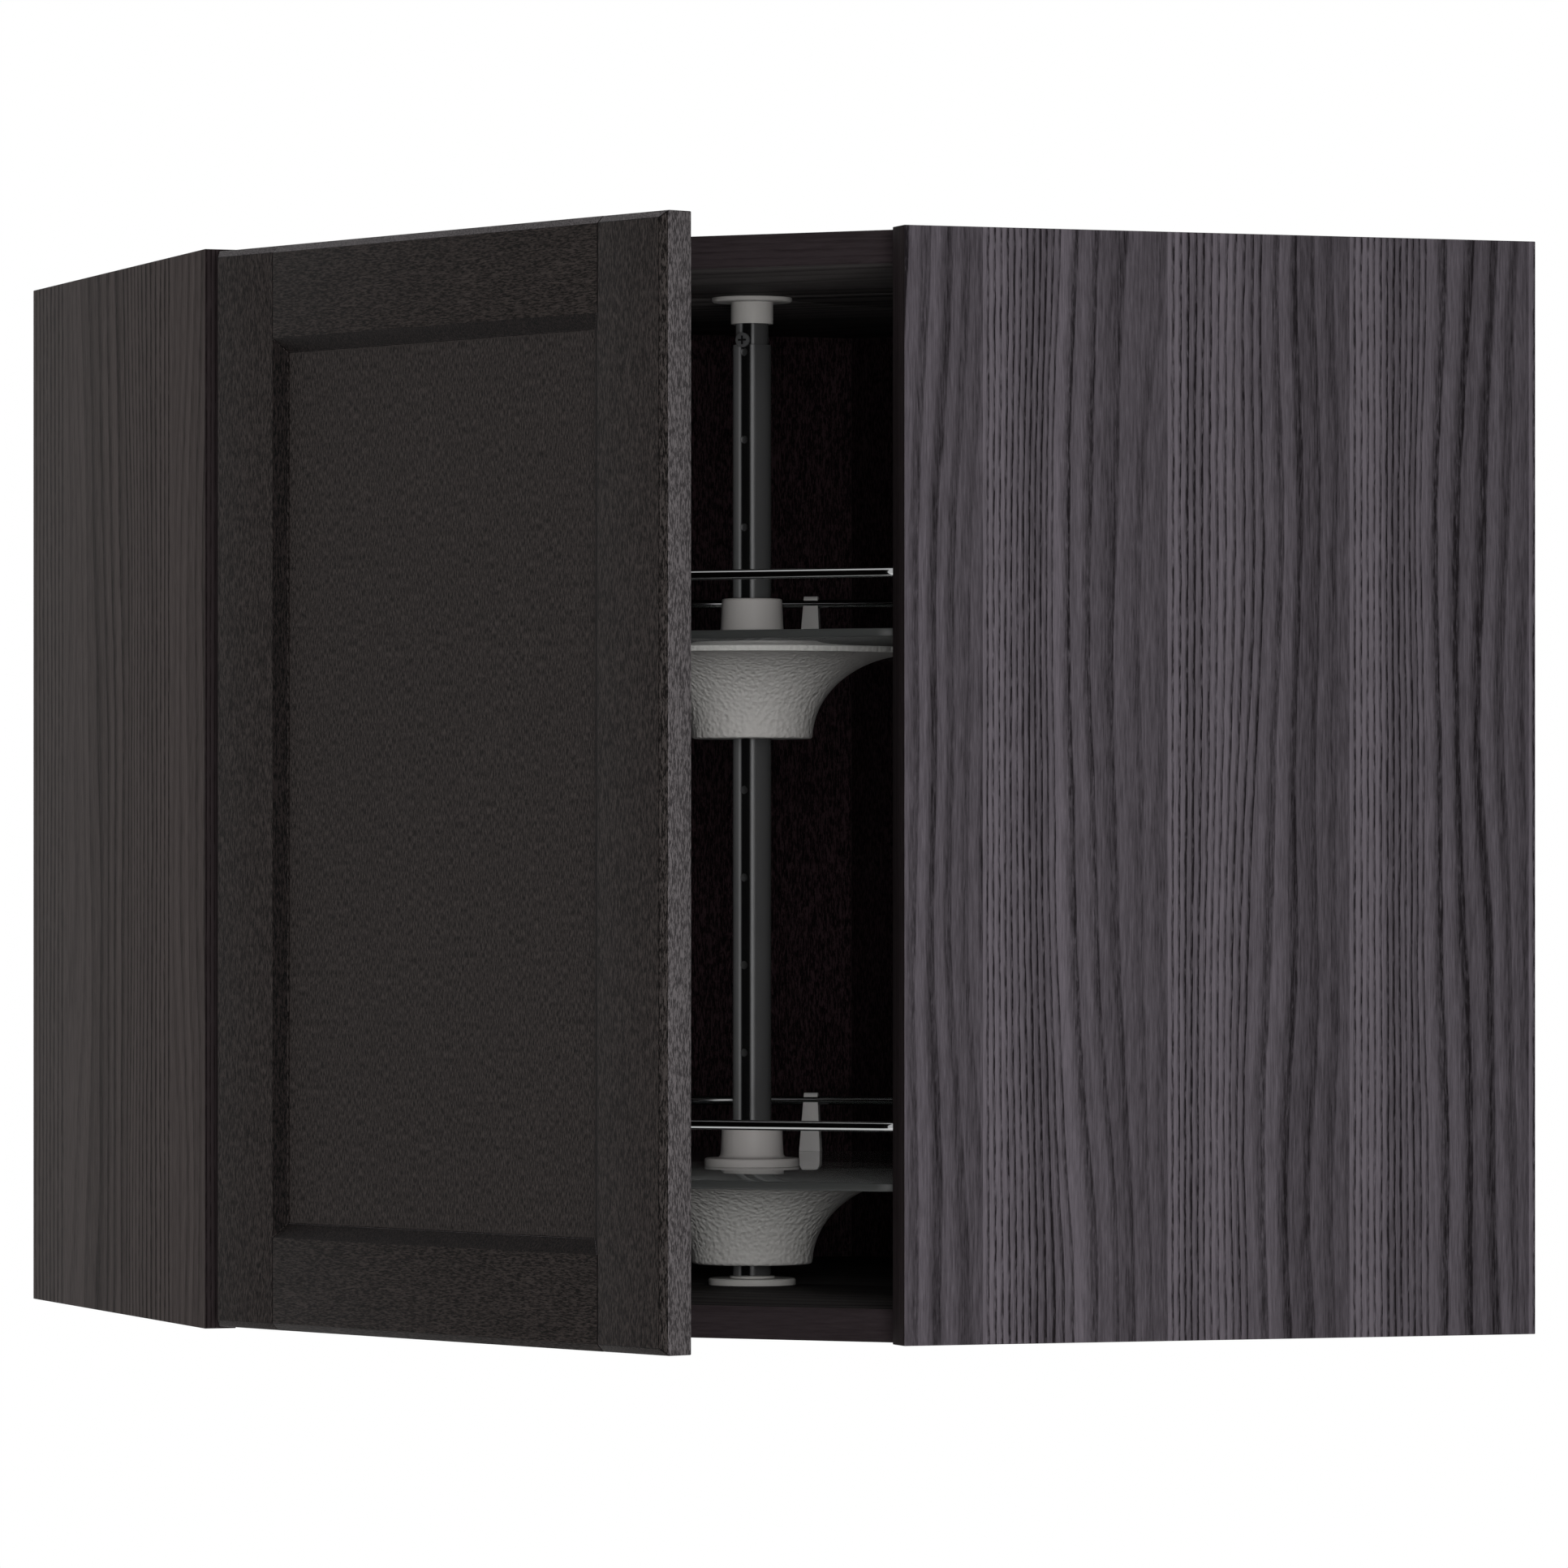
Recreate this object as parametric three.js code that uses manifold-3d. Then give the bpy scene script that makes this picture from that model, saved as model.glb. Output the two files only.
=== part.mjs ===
// A wall-hung corner cabinet: boards, a framed diagonal door on two linked cup hinges,
// and a glass carousel of two shelves on a telescopic post. Millimetres, +Z up.
// The origin is on the carousel axis at the underside of the bottom board.
// The two walls are the planes x = axisToWall and y = axisToWall, 338 mm from the axis.
// Front pieces are placed in a turned frame: X to the right seen from the front, Y into the cabinet.
import * as THREE from "three";
import { mergeVertices } from "three/addons/utils/BufferGeometryUtils.js";
import Module from "manifold-3d";

const wasm = await Module();
wasm.setup();

// ---------- Driving sizes ----------

const runningGap = 0.3; // between pieces that turn, slide or are cut to fit each other

// Boards
const cabinetWidth = 672; // along each wall, outside
const sideDepth = 370; // of the two side boards, from the wall
const cabinetHeight = 600;
const boardThickness = 18;
const axisOffset = 2; // of the carousel axis from the middle of the cabinet, away from the walls
const backThickness = 4;
const backInset = 1; // of the back boards behind the wall ends of the side boards
const cornerCut = 155; // from a wall to where the diagonal corner board starts
const boardSetback = 17.4; // of the diagonal front edges behind the sides' inner front corners

// Door
const doorGap = 1.5; // between the closed door and the diagonal front edges
const doorEdgeGap = 1.5; // above and below the door
const doorSideGap = 2.3; // between the closed door and the sides' inner front corners
const doorThickness = 19;
const stileFlat = 55; // flat face of a stile, up to the bevel
const railFlat = 51;
const innerBevelWidth = 8;
const innerBevelDepth = 5;
const outerChamfer = 4;
const panelDrop = 0.5; // of the panel's face below the end of the bevel
const panelThickness = 11;
const tongueLength = 6;
const tongueThickness = 6;
const bumperRadius = 4;
const bumperInset = 8.5; // from the door's free edge
const doorRest = 25; // degrees that the door stands open

// Hinges
const pivotSide = 31.5; // of the door's turning axis outside its hinged edge
const pivotBack = 12.2; // of that axis behind the door's face
const hingeAboveShelf = 64.5; // from a shelf's glass to the middle of the hinge over it
const armPivotRight = 41.5; // of the arm's pin from the turning axis
const armPivotBack = 19;
const cupPivotRight = 51; // of the cup's pin from the turning axis, with the door closed
const cupPivotBack = 10.3;
const pinRadius = 2;
const knuckleRadius = 5;
const linkHalfWidth = 3.5;
const swingLinkThickness = 6.4;
const cheekThickness = 1.5;
const cupRadius = 17.5;
const cupWall = 1.5;
const cupDepth = 11.5;
const cupFromEdge = 22.5;
const cupRimWidth = 2;
const flangeThickness = 1.2;
const flangeHeight = 60;
const flangeWidth = 20;
const flangeOffset = 6; // of the flange's middle from the cup's middle, away from the hinged edge
const plateThickness = 3;
const plateLength = 54;
const plateHeight = 18;
const plateFrontInset = 40; // from the side board's front end
const wingHeight = 48;
const wingLength = 16;
const armWidth = 9; // from its web to its open side
const armRearInset = 4; // of the arm's rear end from the plate's

// Hanging brackets
const bracketThickness = 3;
const bracketLength = 55;
const bracketHeight = 55;
const bracketTopGap = 7; // under the top board
const hookWidth = 15;
const hookArmHeight = 15;
const hookDrop = 31;
const hookLip = 3;

// Post
const tubeRadius = 11.1;
const tubeWall = 1.25;
const exposedInnerTube = 11.9; // between the outer tube and the head flange
const innerTubeRadius = tubeRadius - tubeWall - runningGap;
const innerTubeWall = 1.3;
const innerTubeLength = 267.2;
const holePitch = 50;
const firstHoleHeight = 50.7;
const holeRadius = 2.4;
const footRadius = 25;
const footThickness = 3.8;
const footCollarRadius = 13;
const footCollarHeight = 1.2;
const spigotHeight = 13;
const headRadius = 23;
const headThickness = 2.5;
const neckRadius = 12.1;
const neckHeight = 12.4;
const neckSocketDepth = 11.5;
const flangeScrewCircle = 17.5;
const screwHeadRadius = 3.6;
const screwHeadHeight = 1.8;
const screwHeadEdge = 0.5;
const screwRadius = 1.6;
const screwLength = 12;
const pilotDepth = screwLength - headThickness + 1;
const lockScrewHeadRadius = 4.25;
const lockScrewHeadHeight = 1.9;
const lockScrewRadius = 2;
const lockScrewReach = 4; // past the axis

// Shelves
const shelfSideClearance = 24; // from the glass to a side board
const shelfFrontClearance = 4.7; // from the straight front to the boards' diagonal edge
const shelfCornerRadius = 20;
const glassThickness = 4.5;
const shelfHoleIndex = { lower: 1, upper: 7 }; // which hole in the post carries each shelf
const railInset = 2; // of the rail's middle from the rounded glass edge
const railFrontInset = 5.5; // from the straight glass edge
const railRadius = 2.75;
const railHeight = 30.4; // of its middle over the glass
const fingerHeight = 35;
const fingerTopWidth = 8.3;
const fingerBaseWidth = 12.6;
const fingerTopInside = 2.2; // of a clip's top from the rail's middle towards the post
const fingerTopOutside = 4.5;
const fingerBaseDepth = 14;
const fingerOutside = 3; // past the rounded glass edge
const fingerLip = 2.2;
const fingerDrop = 7; // of its rounded tongue below the glass top
const fingerAngles = [18.4, 76, 133]; // degrees from the rear, on each side
const hubDiscRadius = 27.2;
const hubDiscHeight = 5;
const hubConeBase = 18.1;
const hubConeTop = 17.2;
const hubHeight = 24.6;
const hubSpigotRadius = 17;
const hubFillet = 3;
const hubTopEdge = 1.5;
const supportPinRadius = 2.1;
const supportPinReach = 13.8; // from the axis to each end
const pinAboveGlass = 15.2;
const bellHeight = 51;
const bellBottomRadius = 34.6;
const bellRimRadius = 94;
const bellLip = 2.8;
const bellWall = 2.5;
const bellEdge = 1.6;
const sleeveRadius = 15.6;

// ---------- Places worked out from the sizes ----------

const axisToWall = cabinetWidth / 2 + axisOffset;
const sideOuter = axisToWall - cabinetWidth;
const sideInner = sideOuter + boardThickness;
const sideFront = axisToWall - sideDepth;
const backFace = axisToWall - backInset - backThickness;
const backOuter = axisToWall - backInset;
const cornerStart = axisToWall - cornerCut;
const topUnderside = cabinetHeight - boardThickness;
const innerFrontCorner = -(sideInner + sideFront) / Math.SQRT2; // forward of the axis
const boardFront = innerFrontCorner - boardSetback;
const bracketTop = topUnderside - bracketTopGap;

const doorBack = boardFront + doorGap;
const doorFace = doorBack + doorThickness;
const doorHalf = (sideFront - sideInner) / Math.SQRT2 - doorSideGap;
const doorBottom = doorEdgeGap;
const doorTop = cabinetHeight - doorEdgeGap;
const doorMiddle = (doorBottom + doorTop) / 2;
const pivot = new THREE.Vector2(-doorHalf - pivotSide, -(doorFace - pivotBack));
const armPin = new THREE.Vector2(pivot.x + armPivotRight, pivot.y + armPivotBack);
const cupPin = new THREE.Vector2(pivot.x + cupPivotRight, pivot.y + cupPivotBack);

const boreRadius = tubeRadius + runningGap;
const postFoot = boardThickness + footThickness + footCollarHeight + runningGap;
const headUnderside = topUnderside - headThickness;
const neckBottom = headUnderside - neckHeight;
const tubeTop = neckBottom - exposedInnerTube;
const lockScrewHeight = tubeTop + runningGap + lockScrewRadius;
const innerTubeTop = neckBottom + neckSocketDepth - runningGap;
const innerTubeBottom = innerTubeTop - innerTubeLength;
const shelfRadius = -sideInner - shelfSideClearance;
const shelfChord = boardFront - shelfFrontClearance;
const railCircle = shelfRadius - railInset;
const railChord = shelfChord - railFrontInset;
const flangeScrewAngles = [-45, 75, 195]; // degrees, in the front frame
const shelves = Object.entries(shelfHoleIndex).map(([name, hole]) => ({
  name,
  glassTop: firstHoleHeight + hole * holePitch - pinAboveGlass,
}));
const hinges = shelves.map(({ name, glassTop }) => ({
  name: "hinge_" + name,
  height: glassTop + hingeAboveShelf,
}));

// ---------- Finishes ----------

const finish = (color, roughness, metalness) =>
  new THREE.MeshStandardMaterial({ color, roughness, metalness });
const blackFoil = finish(0x3a3536, 0.5, 0);
const innerFoil = finish(0x242021, 0.55, 0);
const blackAsh = finish(0x2d2928, 0.5, 0);
const greyPlastic = finish(0x75716f, 0.45, 0);
const lightPlastic = finish(0x9a9896, 0.45, 0);
const clearGlass = new THREE.MeshStandardMaterial({
  color: 0x8fa39b, roughness: 0.05, metalness: 0, transparent: true, opacity: 0.45,
});
const chrome = finish(0xc8cacc, 0.12, 1);
const darkSteel = finish(0x6b6c6e, 0.25, 1);
const zincSteel = finish(0x9fa1a3, 0.35, 1);
const softRubber = finish(0xc9c9c6, 0.7, 0);

// ---------- Solids ----------

/** A closed geometry as a solid that can be joined and cut. */
function solidOf(geometry) {
  const open = geometry.index ? geometry.toNonIndexed() : geometry.clone();
  open.deleteAttribute("normal");
  open.deleteAttribute("uv");
  const merged = mergeVertices(open, 1e-4);
  const made = new wasm.Manifold(
    new wasm.Mesh({
      numProp: 3,
      vertProperties: merged.attributes.position.array,
      triVerts: new Uint32Array(merged.index.array),
    }),
  );
  if (made.volume() > 0) return made;
  const turned = new Uint32Array(merged.index.array);
  for (let i = 0; i < turned.length; i += 3) {
    [turned[i + 1], turned[i + 2]] = [turned[i + 2], turned[i + 1]];
  }
  return new wasm.Manifold(
    new wasm.Mesh({
      numProp: 3,
      vertProperties: merged.attributes.position.array,
      triVerts: turned,
    }),
  );
}

/** A solid back as a geometry. */
function geometryOf(solid) {
  const mesh = solid.getMesh();
  const geometry = new THREE.BufferGeometry();
  geometry.setAttribute("position", new THREE.BufferAttribute(mesh.vertProperties, 3));
  geometry.setIndex(new THREE.BufferAttribute(mesh.triVerts, 1));
  const flat = geometry.toNonIndexed();
  flat.computeVertexNormals();
  return flat;
}

const join = (first, ...others) => others.reduce((sum, one) => sum.add(one), first);
const cut = (first, ...others) => others.reduce((rest, one) => rest.subtract(one), first);

/** A box between two corners. */
function block([x0, y0, z0], [x1, y1, z1]) {
  const box = new THREE.BoxGeometry(x1 - x0, y1 - y0, z1 - z0);
  return solidOf(box.translate((x0 + x1) / 2, (y0 + y1) / 2, (z0 + z1) / 2));
}

/** The same box with x and y exchanged: its twin along the other wall. */
const twinBlock = ([x0, y0, z0], [x1, y1, z1]) => block([y0, x0, z0], [y1, x1, z1]);

/** A box that narrows along Y from one rectangle to another, about x = 0 and the height `middle`. */
function taperedBlock(y0, halfX0, halfZ0, y1, halfX1, halfZ1, middle) {
  const box = new THREE.BoxGeometry(2, 2, 2);
  const at = box.attributes.position;
  for (let i = 0; i < at.count; i += 1) {
    const far = at.getY(i) > 0;
    at.setXYZ(
      i,
      at.getX(i) * (far ? halfX1 : halfX0),
      far ? y1 : y0,
      middle + at.getZ(i) * (far ? halfZ1 : halfZ0),
    );
  }
  return solidOf(box);
}

/** An outline in plan, raised from one height to another, with round holes of [x, y, radius, sides]. */
function slab(points, z0, z1, holes = []) {
  const shape = new THREE.Shape(points);
  for (const [x, y, radius, sides] of holes) {
    const ring = Array.from({ length: sides }, (_, i) => {
      const turn = (-2 * Math.PI * i) / sides;
      return new THREE.Vector2(x + radius * Math.cos(turn), y + radius * Math.sin(turn));
    });
    shape.holes.push(new THREE.Path(ring));
  }
  const geometry = new THREE.ExtrudeGeometry(shape, { depth: z1 - z0, bevelEnabled: false });
  return solidOf(geometry.translate(0, 0, z0));
}

/** A shape turned about Z. The profile is [radius, height] pairs that close on themselves or on the axis. */
function turned(profile, sides) {
  const points = profile.map(([r, z]) => new THREE.Vector2(r, z));
  if (profile[0][0] > 0) points.push(points[0].clone());
  return solidOf(new THREE.LatheGeometry(points, sides).rotateX(Math.PI / 2));
}

/** A round bar between two points. */
function bar(from, to, radius, sides) {
  const a = new THREE.Vector3(...from);
  const b = new THREE.Vector3(...to);
  const geometry = new THREE.CylinderGeometry(radius, radius, a.distanceTo(b), sides);
  const turn = new THREE.Quaternion().setFromUnitVectors(
    new THREE.Vector3(0, 1, 0),
    b.clone().sub(a).normalize(),
  );
  geometry.applyQuaternion(turn);
  const middle = a.clone().add(b).multiplyScalar(0.5);
  return solidOf(geometry.translate(middle.x, middle.y, middle.z));
}

/** Points on an arc about (x, y), from one angle to another in degrees, both ends included. */
function arc(x, y, radius, from, to, steps) {
  return Array.from({ length: steps + 1 }, (_, i) => {
    const turn = THREE.MathUtils.degToRad(from + ((to - from) * i) / steps);
    return new THREE.Vector2(x + radius * Math.cos(turn), y + radius * Math.sin(turn));
  });
}

/** The shelf's outline: a circle about the axis with a straight front and rounded corners. */
function shelfOutline(radius, chord, corner, arcSteps, cornerSteps) {
  const cornerY = -(chord - corner);
  const cornerX = Math.sqrt((radius - corner) ** 2 - cornerY ** 2);
  const meet = THREE.MathUtils.radToDeg(Math.atan2(cornerY, cornerX));
  return [
    ...arc(cornerX, cornerY, corner, -90, meet, cornerSteps),
    ...arc(0, 0, radius, meet, 180 - meet, arcSteps).slice(1),
    ...arc(-cornerX, cornerY, corner, 180 - meet, 270, cornerSteps).slice(1),
  ];
}

/** A rod that follows a closed flat outline at one height. */
function ringRod(outline, height, radius, sides) {
  const count = outline.length;
  const positions = [];
  outline.forEach((point, i) => {
    const before = outline[(i + count - 1) % count];
    const after = outline[(i + 1) % count];
    const way = after.clone().sub(before).normalize();
    for (let k = 0; k < sides; k += 1) {
      const turn = (2 * Math.PI * (k + 0.5)) / sides;
      const out = radius * Math.cos(turn);
      positions.push(point.x + way.y * out, point.y - way.x * out, height + radius * Math.sin(turn));
    }
  });
  const index = [];
  for (let i = 0; i < count; i += 1) {
    for (let k = 0; k < sides; k += 1) {
      const a = i * sides + k;
      const b = i * sides + ((k + 1) % sides);
      const c = ((i + 1) % count) * sides + k;
      const d = ((i + 1) % count) * sides + ((k + 1) % sides);
      index.push(a, c, b, b, c, d);
    }
  }
  const geometry = new THREE.BufferGeometry();
  geometry.setAttribute("position", new THREE.Float32BufferAttribute(positions, 3));
  geometry.setIndex(index);
  return solidOf(geometry);
}

const cabinet = new THREE.Group();
const front = new THREE.Group();
front.rotation.z = -Math.PI / 4;
cabinet.add(front);

/** Adds one named piece to a group. */
function piece(group, name, solid, material) {
  const mesh = new THREE.Mesh(geometryOf(solid), material);
  mesh.name = name;
  group.add(mesh);
}

/** A place in the front frame, in the cabinet's own frame. */
const fromFront = (point) => point.clone().rotateAround(new THREE.Vector2(), -Math.PI / 4);

// ---------- Boards ----------

/** The plan of the top and bottom boards: a diagonal front and a cut rear corner. */
function boardPlan() {
  const frontSum = -boardFront * Math.SQRT2; // x + y along the diagonal front edge
  return [
    [sideInner, frontSum - sideInner],
    [frontSum - sideInner, sideInner],
    [backFace, sideInner],
    [backFace, cornerStart],
    [cornerStart, backFace],
    [sideInner, backFace],
  ].map(([x, y]) => new THREE.Vector2(x, y));
}

/** The places of the screws in a post flange, in the cabinet's own frame. */
const flangeScrewPlaces = flangeScrewAngles.map((angle) => {
  const turn = THREE.MathUtils.degToRad(angle);
  return new THREE.Vector2(Math.cos(turn), Math.sin(turn)).multiplyScalar(flangeScrewCircle);
});

function makeBoards() {
  piece(
    cabinet,
    "side_board_left",
    block([sideOuter, sideFront, 0], [sideInner, axisToWall, cabinetHeight]),
    blackFoil,
  );
  piece(
    cabinet,
    "side_board_right",
    twinBlock([sideOuter, sideFront, 0], [sideInner, axisToWall, cabinetHeight]),
    blackFoil,
  );

  const pilotHoles = (from, to) =>
    flangeScrewPlaces.map((place) => {
      const at = fromFront(place);
      return bar([at.x, at.y, from], [at.x, at.y, to], screwRadius + runningGap, 12);
    });
  const bottomHoles = pilotHoles(boardThickness - pilotDepth, boardThickness + 1);
  const bottom = slab(boardPlan(), 0, boardThickness);
  piece(cabinet, "bottom_board", cut(bottom, ...bottomHoles), blackFoil);
  const topHoles = pilotHoles(topUnderside - 1, topUnderside + pilotDepth);
  const top = slab(boardPlan(), topUnderside, cabinetHeight);
  piece(cabinet, "top_board", cut(top, ...topHoles), blackFoil);

  const notch = [
    [sideInner - 1, backFace - 1, bracketTop - hookDrop - 2],
    [sideInner + hookWidth + 2, backOuter + 1, bracketTop + 2],
  ];
  const back = [
    [sideInner, backFace, 0],
    [cornerStart, backOuter, cabinetHeight],
  ];
  piece(cabinet, "back_board_left", cut(block(...back), block(...notch)), innerFoil);
  piece(cabinet, "back_board_right", cut(twinBlock(...back), twinBlock(...notch)), innerFoil);

  const inside = cornerStart + backFace + runningGap * Math.SQRT2; // x + y on its inner face
  const outside = inside + backThickness * Math.SQRT2;
  const end = cornerStart + runningGap;
  const plan = [
    [end, inside - end],
    [inside - end, end],
    [backOuter, end],
    [backOuter, outside - backOuter],
    [outside - backOuter, backOuter],
    [end, backOuter],
  ].map(([x, y]) => new THREE.Vector2(x, y));
  piece(cabinet, "corner_board", slab(plan, 0, cabinetHeight), innerFoil);
}

/** A steel bracket on a side board, with a hook through the back that hangs on a wall rail. */
function makeHangingBrackets() {
  const parts = [
    [
      [sideInner, backFace - bracketLength, bracketTop - bracketHeight],
      [sideInner + bracketThickness, backFace - runningGap, bracketTop],
    ],
    [
      [sideInner, backFace - hookWidth, bracketTop - hookArmHeight],
      [sideInner + hookWidth, backOuter - hookLip, bracketTop],
    ],
    [
      [sideInner, backOuter - hookLip, bracketTop - hookDrop],
      [sideInner + hookWidth, backOuter, bracketTop],
    ],
  ];
  piece(cabinet, "hanging_bracket_left", join(...parts.map((p) => block(...p))), zincSteel);
  piece(cabinet, "hanging_bracket_right", join(...parts.map((p) => twinBlock(...p))), zincSteel);
}

// ---------- Door ----------

/** The door stands in the frame of its turning axis, opened by doorRest. */
const door = new THREE.Group();
door.position.set(pivot.x, pivot.y, 0);
door.rotation.z = -THREE.MathUtils.degToRad(doorRest);
front.add(door);

/** Adds a piece that is given where it lies with the door closed. */
function doorPiece(name, solid, material) {
  piece(door, name, solid.translate([-pivot.x, -pivot.y, 0]), material);
}

function makeDoor() {
  const halfHeight = (doorTop - doorBottom) / 2;
  const flatX = doorHalf - stileFlat;
  const flatZ = halfHeight - railFlat;
  const openX = flatX - innerBevelWidth;
  const openZ = flatZ - innerBevelWidth;
  const chamferBack = -(doorFace - outerChamfer);
  const blank = join(
    taperedBlock(-doorFace, doorHalf - outerChamfer, halfHeight - outerChamfer,
      chamferBack, doorHalf, halfHeight, doorMiddle),
    taperedBlock(chamferBack, doorHalf, halfHeight, -doorBack, doorHalf, halfHeight, doorMiddle),
  );
  const bevelEnd = -(doorFace - innerBevelDepth);
  const opening = join(
    taperedBlock(-doorFace, flatX, flatZ, bevelEnd, openX, openZ, doorMiddle),
    taperedBlock(bevelEnd, openX, openZ, -doorBack, openX, openZ, doorMiddle),
  );
  const panelFace = bevelEnd + panelDrop;
  const panelBack = panelFace + panelThickness;
  const tongueFace = (panelFace + panelBack - tongueThickness) / 2;
  const tongueEnd = tongueFace + tongueThickness;
  const tongueX = openX + tongueLength;
  const tongueZ = openZ + tongueLength;
  const groove = taperedBlock(
    tongueFace - runningGap, tongueX + runningGap, tongueZ + runningGap,
    tongueEnd + runningGap, tongueX + runningGap, tongueZ + runningGap, doorMiddle,
  );

  /** A frame member from its outline seen from the front, as [x, z from the middle]. */
  const member = (outline, ...bores) => {
    const flat = outline.map(([x, z]) => new THREE.Vector2(x, z));
    const geometry = new THREE.ExtrudeGeometry(new THREE.Shape(flat), {
      depth: doorThickness, bevelEnabled: false,
    });
    const upright = solidOf(geometry.rotateX(Math.PI / 2).translate(0, -doorBack, doorMiddle));
    return cut(upright.intersect(blank), opening, groove, ...bores);
  };

  const cupBores = hinges.map(({ height }) =>
    bar(
      [-doorHalf + cupFromEdge, -doorBack + 1, height],
      [-doorHalf + cupFromEdge, -doorBack - cupDepth - runningGap, height],
      cupRadius + runningGap,
      32,
    ),
  );
  const stile = (side) => [
    [side * doorHalf, -halfHeight],
    [side * flatX, -halfHeight],
    [side * flatX, -flatZ],
    [side * openX, -openZ],
    [side * openX, openZ],
    [side * flatX, flatZ],
    [side * flatX, halfHeight],
    [side * doorHalf, halfHeight],
  ];
  const mitre = runningGap * Math.SQRT2;
  const railEnd = flatX - runningGap;
  const railShoulder = flatZ - runningGap + mitre;
  const rail = (side) => [
    [-railEnd, side * halfHeight],
    [railEnd, side * halfHeight],
    [railEnd, side * railShoulder],
    [openX - mitre, side * openZ],
    [-openX + mitre, side * openZ],
    [-railEnd, side * railShoulder],
  ];
  doorPiece("door_stile_left", member(stile(-1), ...cupBores), blackAsh);
  doorPiece("door_stile_right", member(stile(1)), blackAsh);
  doorPiece("door_rail_top", member(rail(1)), blackAsh);
  doorPiece("door_rail_bottom", member(rail(-1)), blackAsh);

  const panelX = openX - runningGap;
  const panelZ = openZ - runningGap;
  const panel = join(
    taperedBlock(panelFace, panelX, panelZ, panelBack, panelX, panelZ, doorMiddle),
    taperedBlock(tongueFace, tongueX, tongueZ, tongueEnd, tongueX, tongueZ, doorMiddle),
  );
  doorPiece("door_panel", panel, blackAsh);

  const bumperX = doorHalf - bumperInset;
  for (const [name, height] of [
    ["door_bumper_lower", boardThickness / 2],
    ["door_bumper_upper", cabinetHeight - boardThickness / 2],
  ]) {
    doorPiece(
      name,
      bar([bumperX, -doorBack, height], [bumperX, -boardFront - runningGap, height], bumperRadius, 16),
      softRubber,
    );
  }
}

// ---------- Hinges ----------

/** A flat link between two pins, round at both ends. */
function linkPlan(from, to, startRadius, endRadius) {
  const way = THREE.MathUtils.radToDeg(Math.atan2(to.y - from.y, to.x - from.x));
  const side = (point, turn) => {
    const angle = THREE.MathUtils.degToRad(way + turn);
    return new THREE.Vector2(
      point.x + linkHalfWidth * Math.cos(angle),
      point.y + linkHalfWidth * Math.sin(angle),
    );
  };
  const reach = (point, radius, sign) => {
    const along = sign * Math.sqrt(radius ** 2 - linkHalfWidth ** 2);
    const angle = THREE.MathUtils.degToRad(way);
    return new THREE.Vector2(point.x + along * Math.cos(angle), point.y + along * Math.sin(angle));
  };
  const open = (radius) => THREE.MathUtils.radToDeg(Math.asin(linkHalfWidth / radius));
  const start = open(startRadius);
  const end = open(endRadius);
  return [
    side(reach(from, startRadius, 1), 90),
    ...arc(from.x, from.y, startRadius, way + start, way + 360 - start, 10).slice(1, -1),
    side(reach(from, startRadius, 1), -90),
    side(reach(to, endRadius, -1), -90),
    ...arc(to.x, to.y, endRadius, way + 180 + end, way + 540 - end, 10).slice(1, -1),
    side(reach(to, endRadius, -1), 90),
  ];
}

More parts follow.
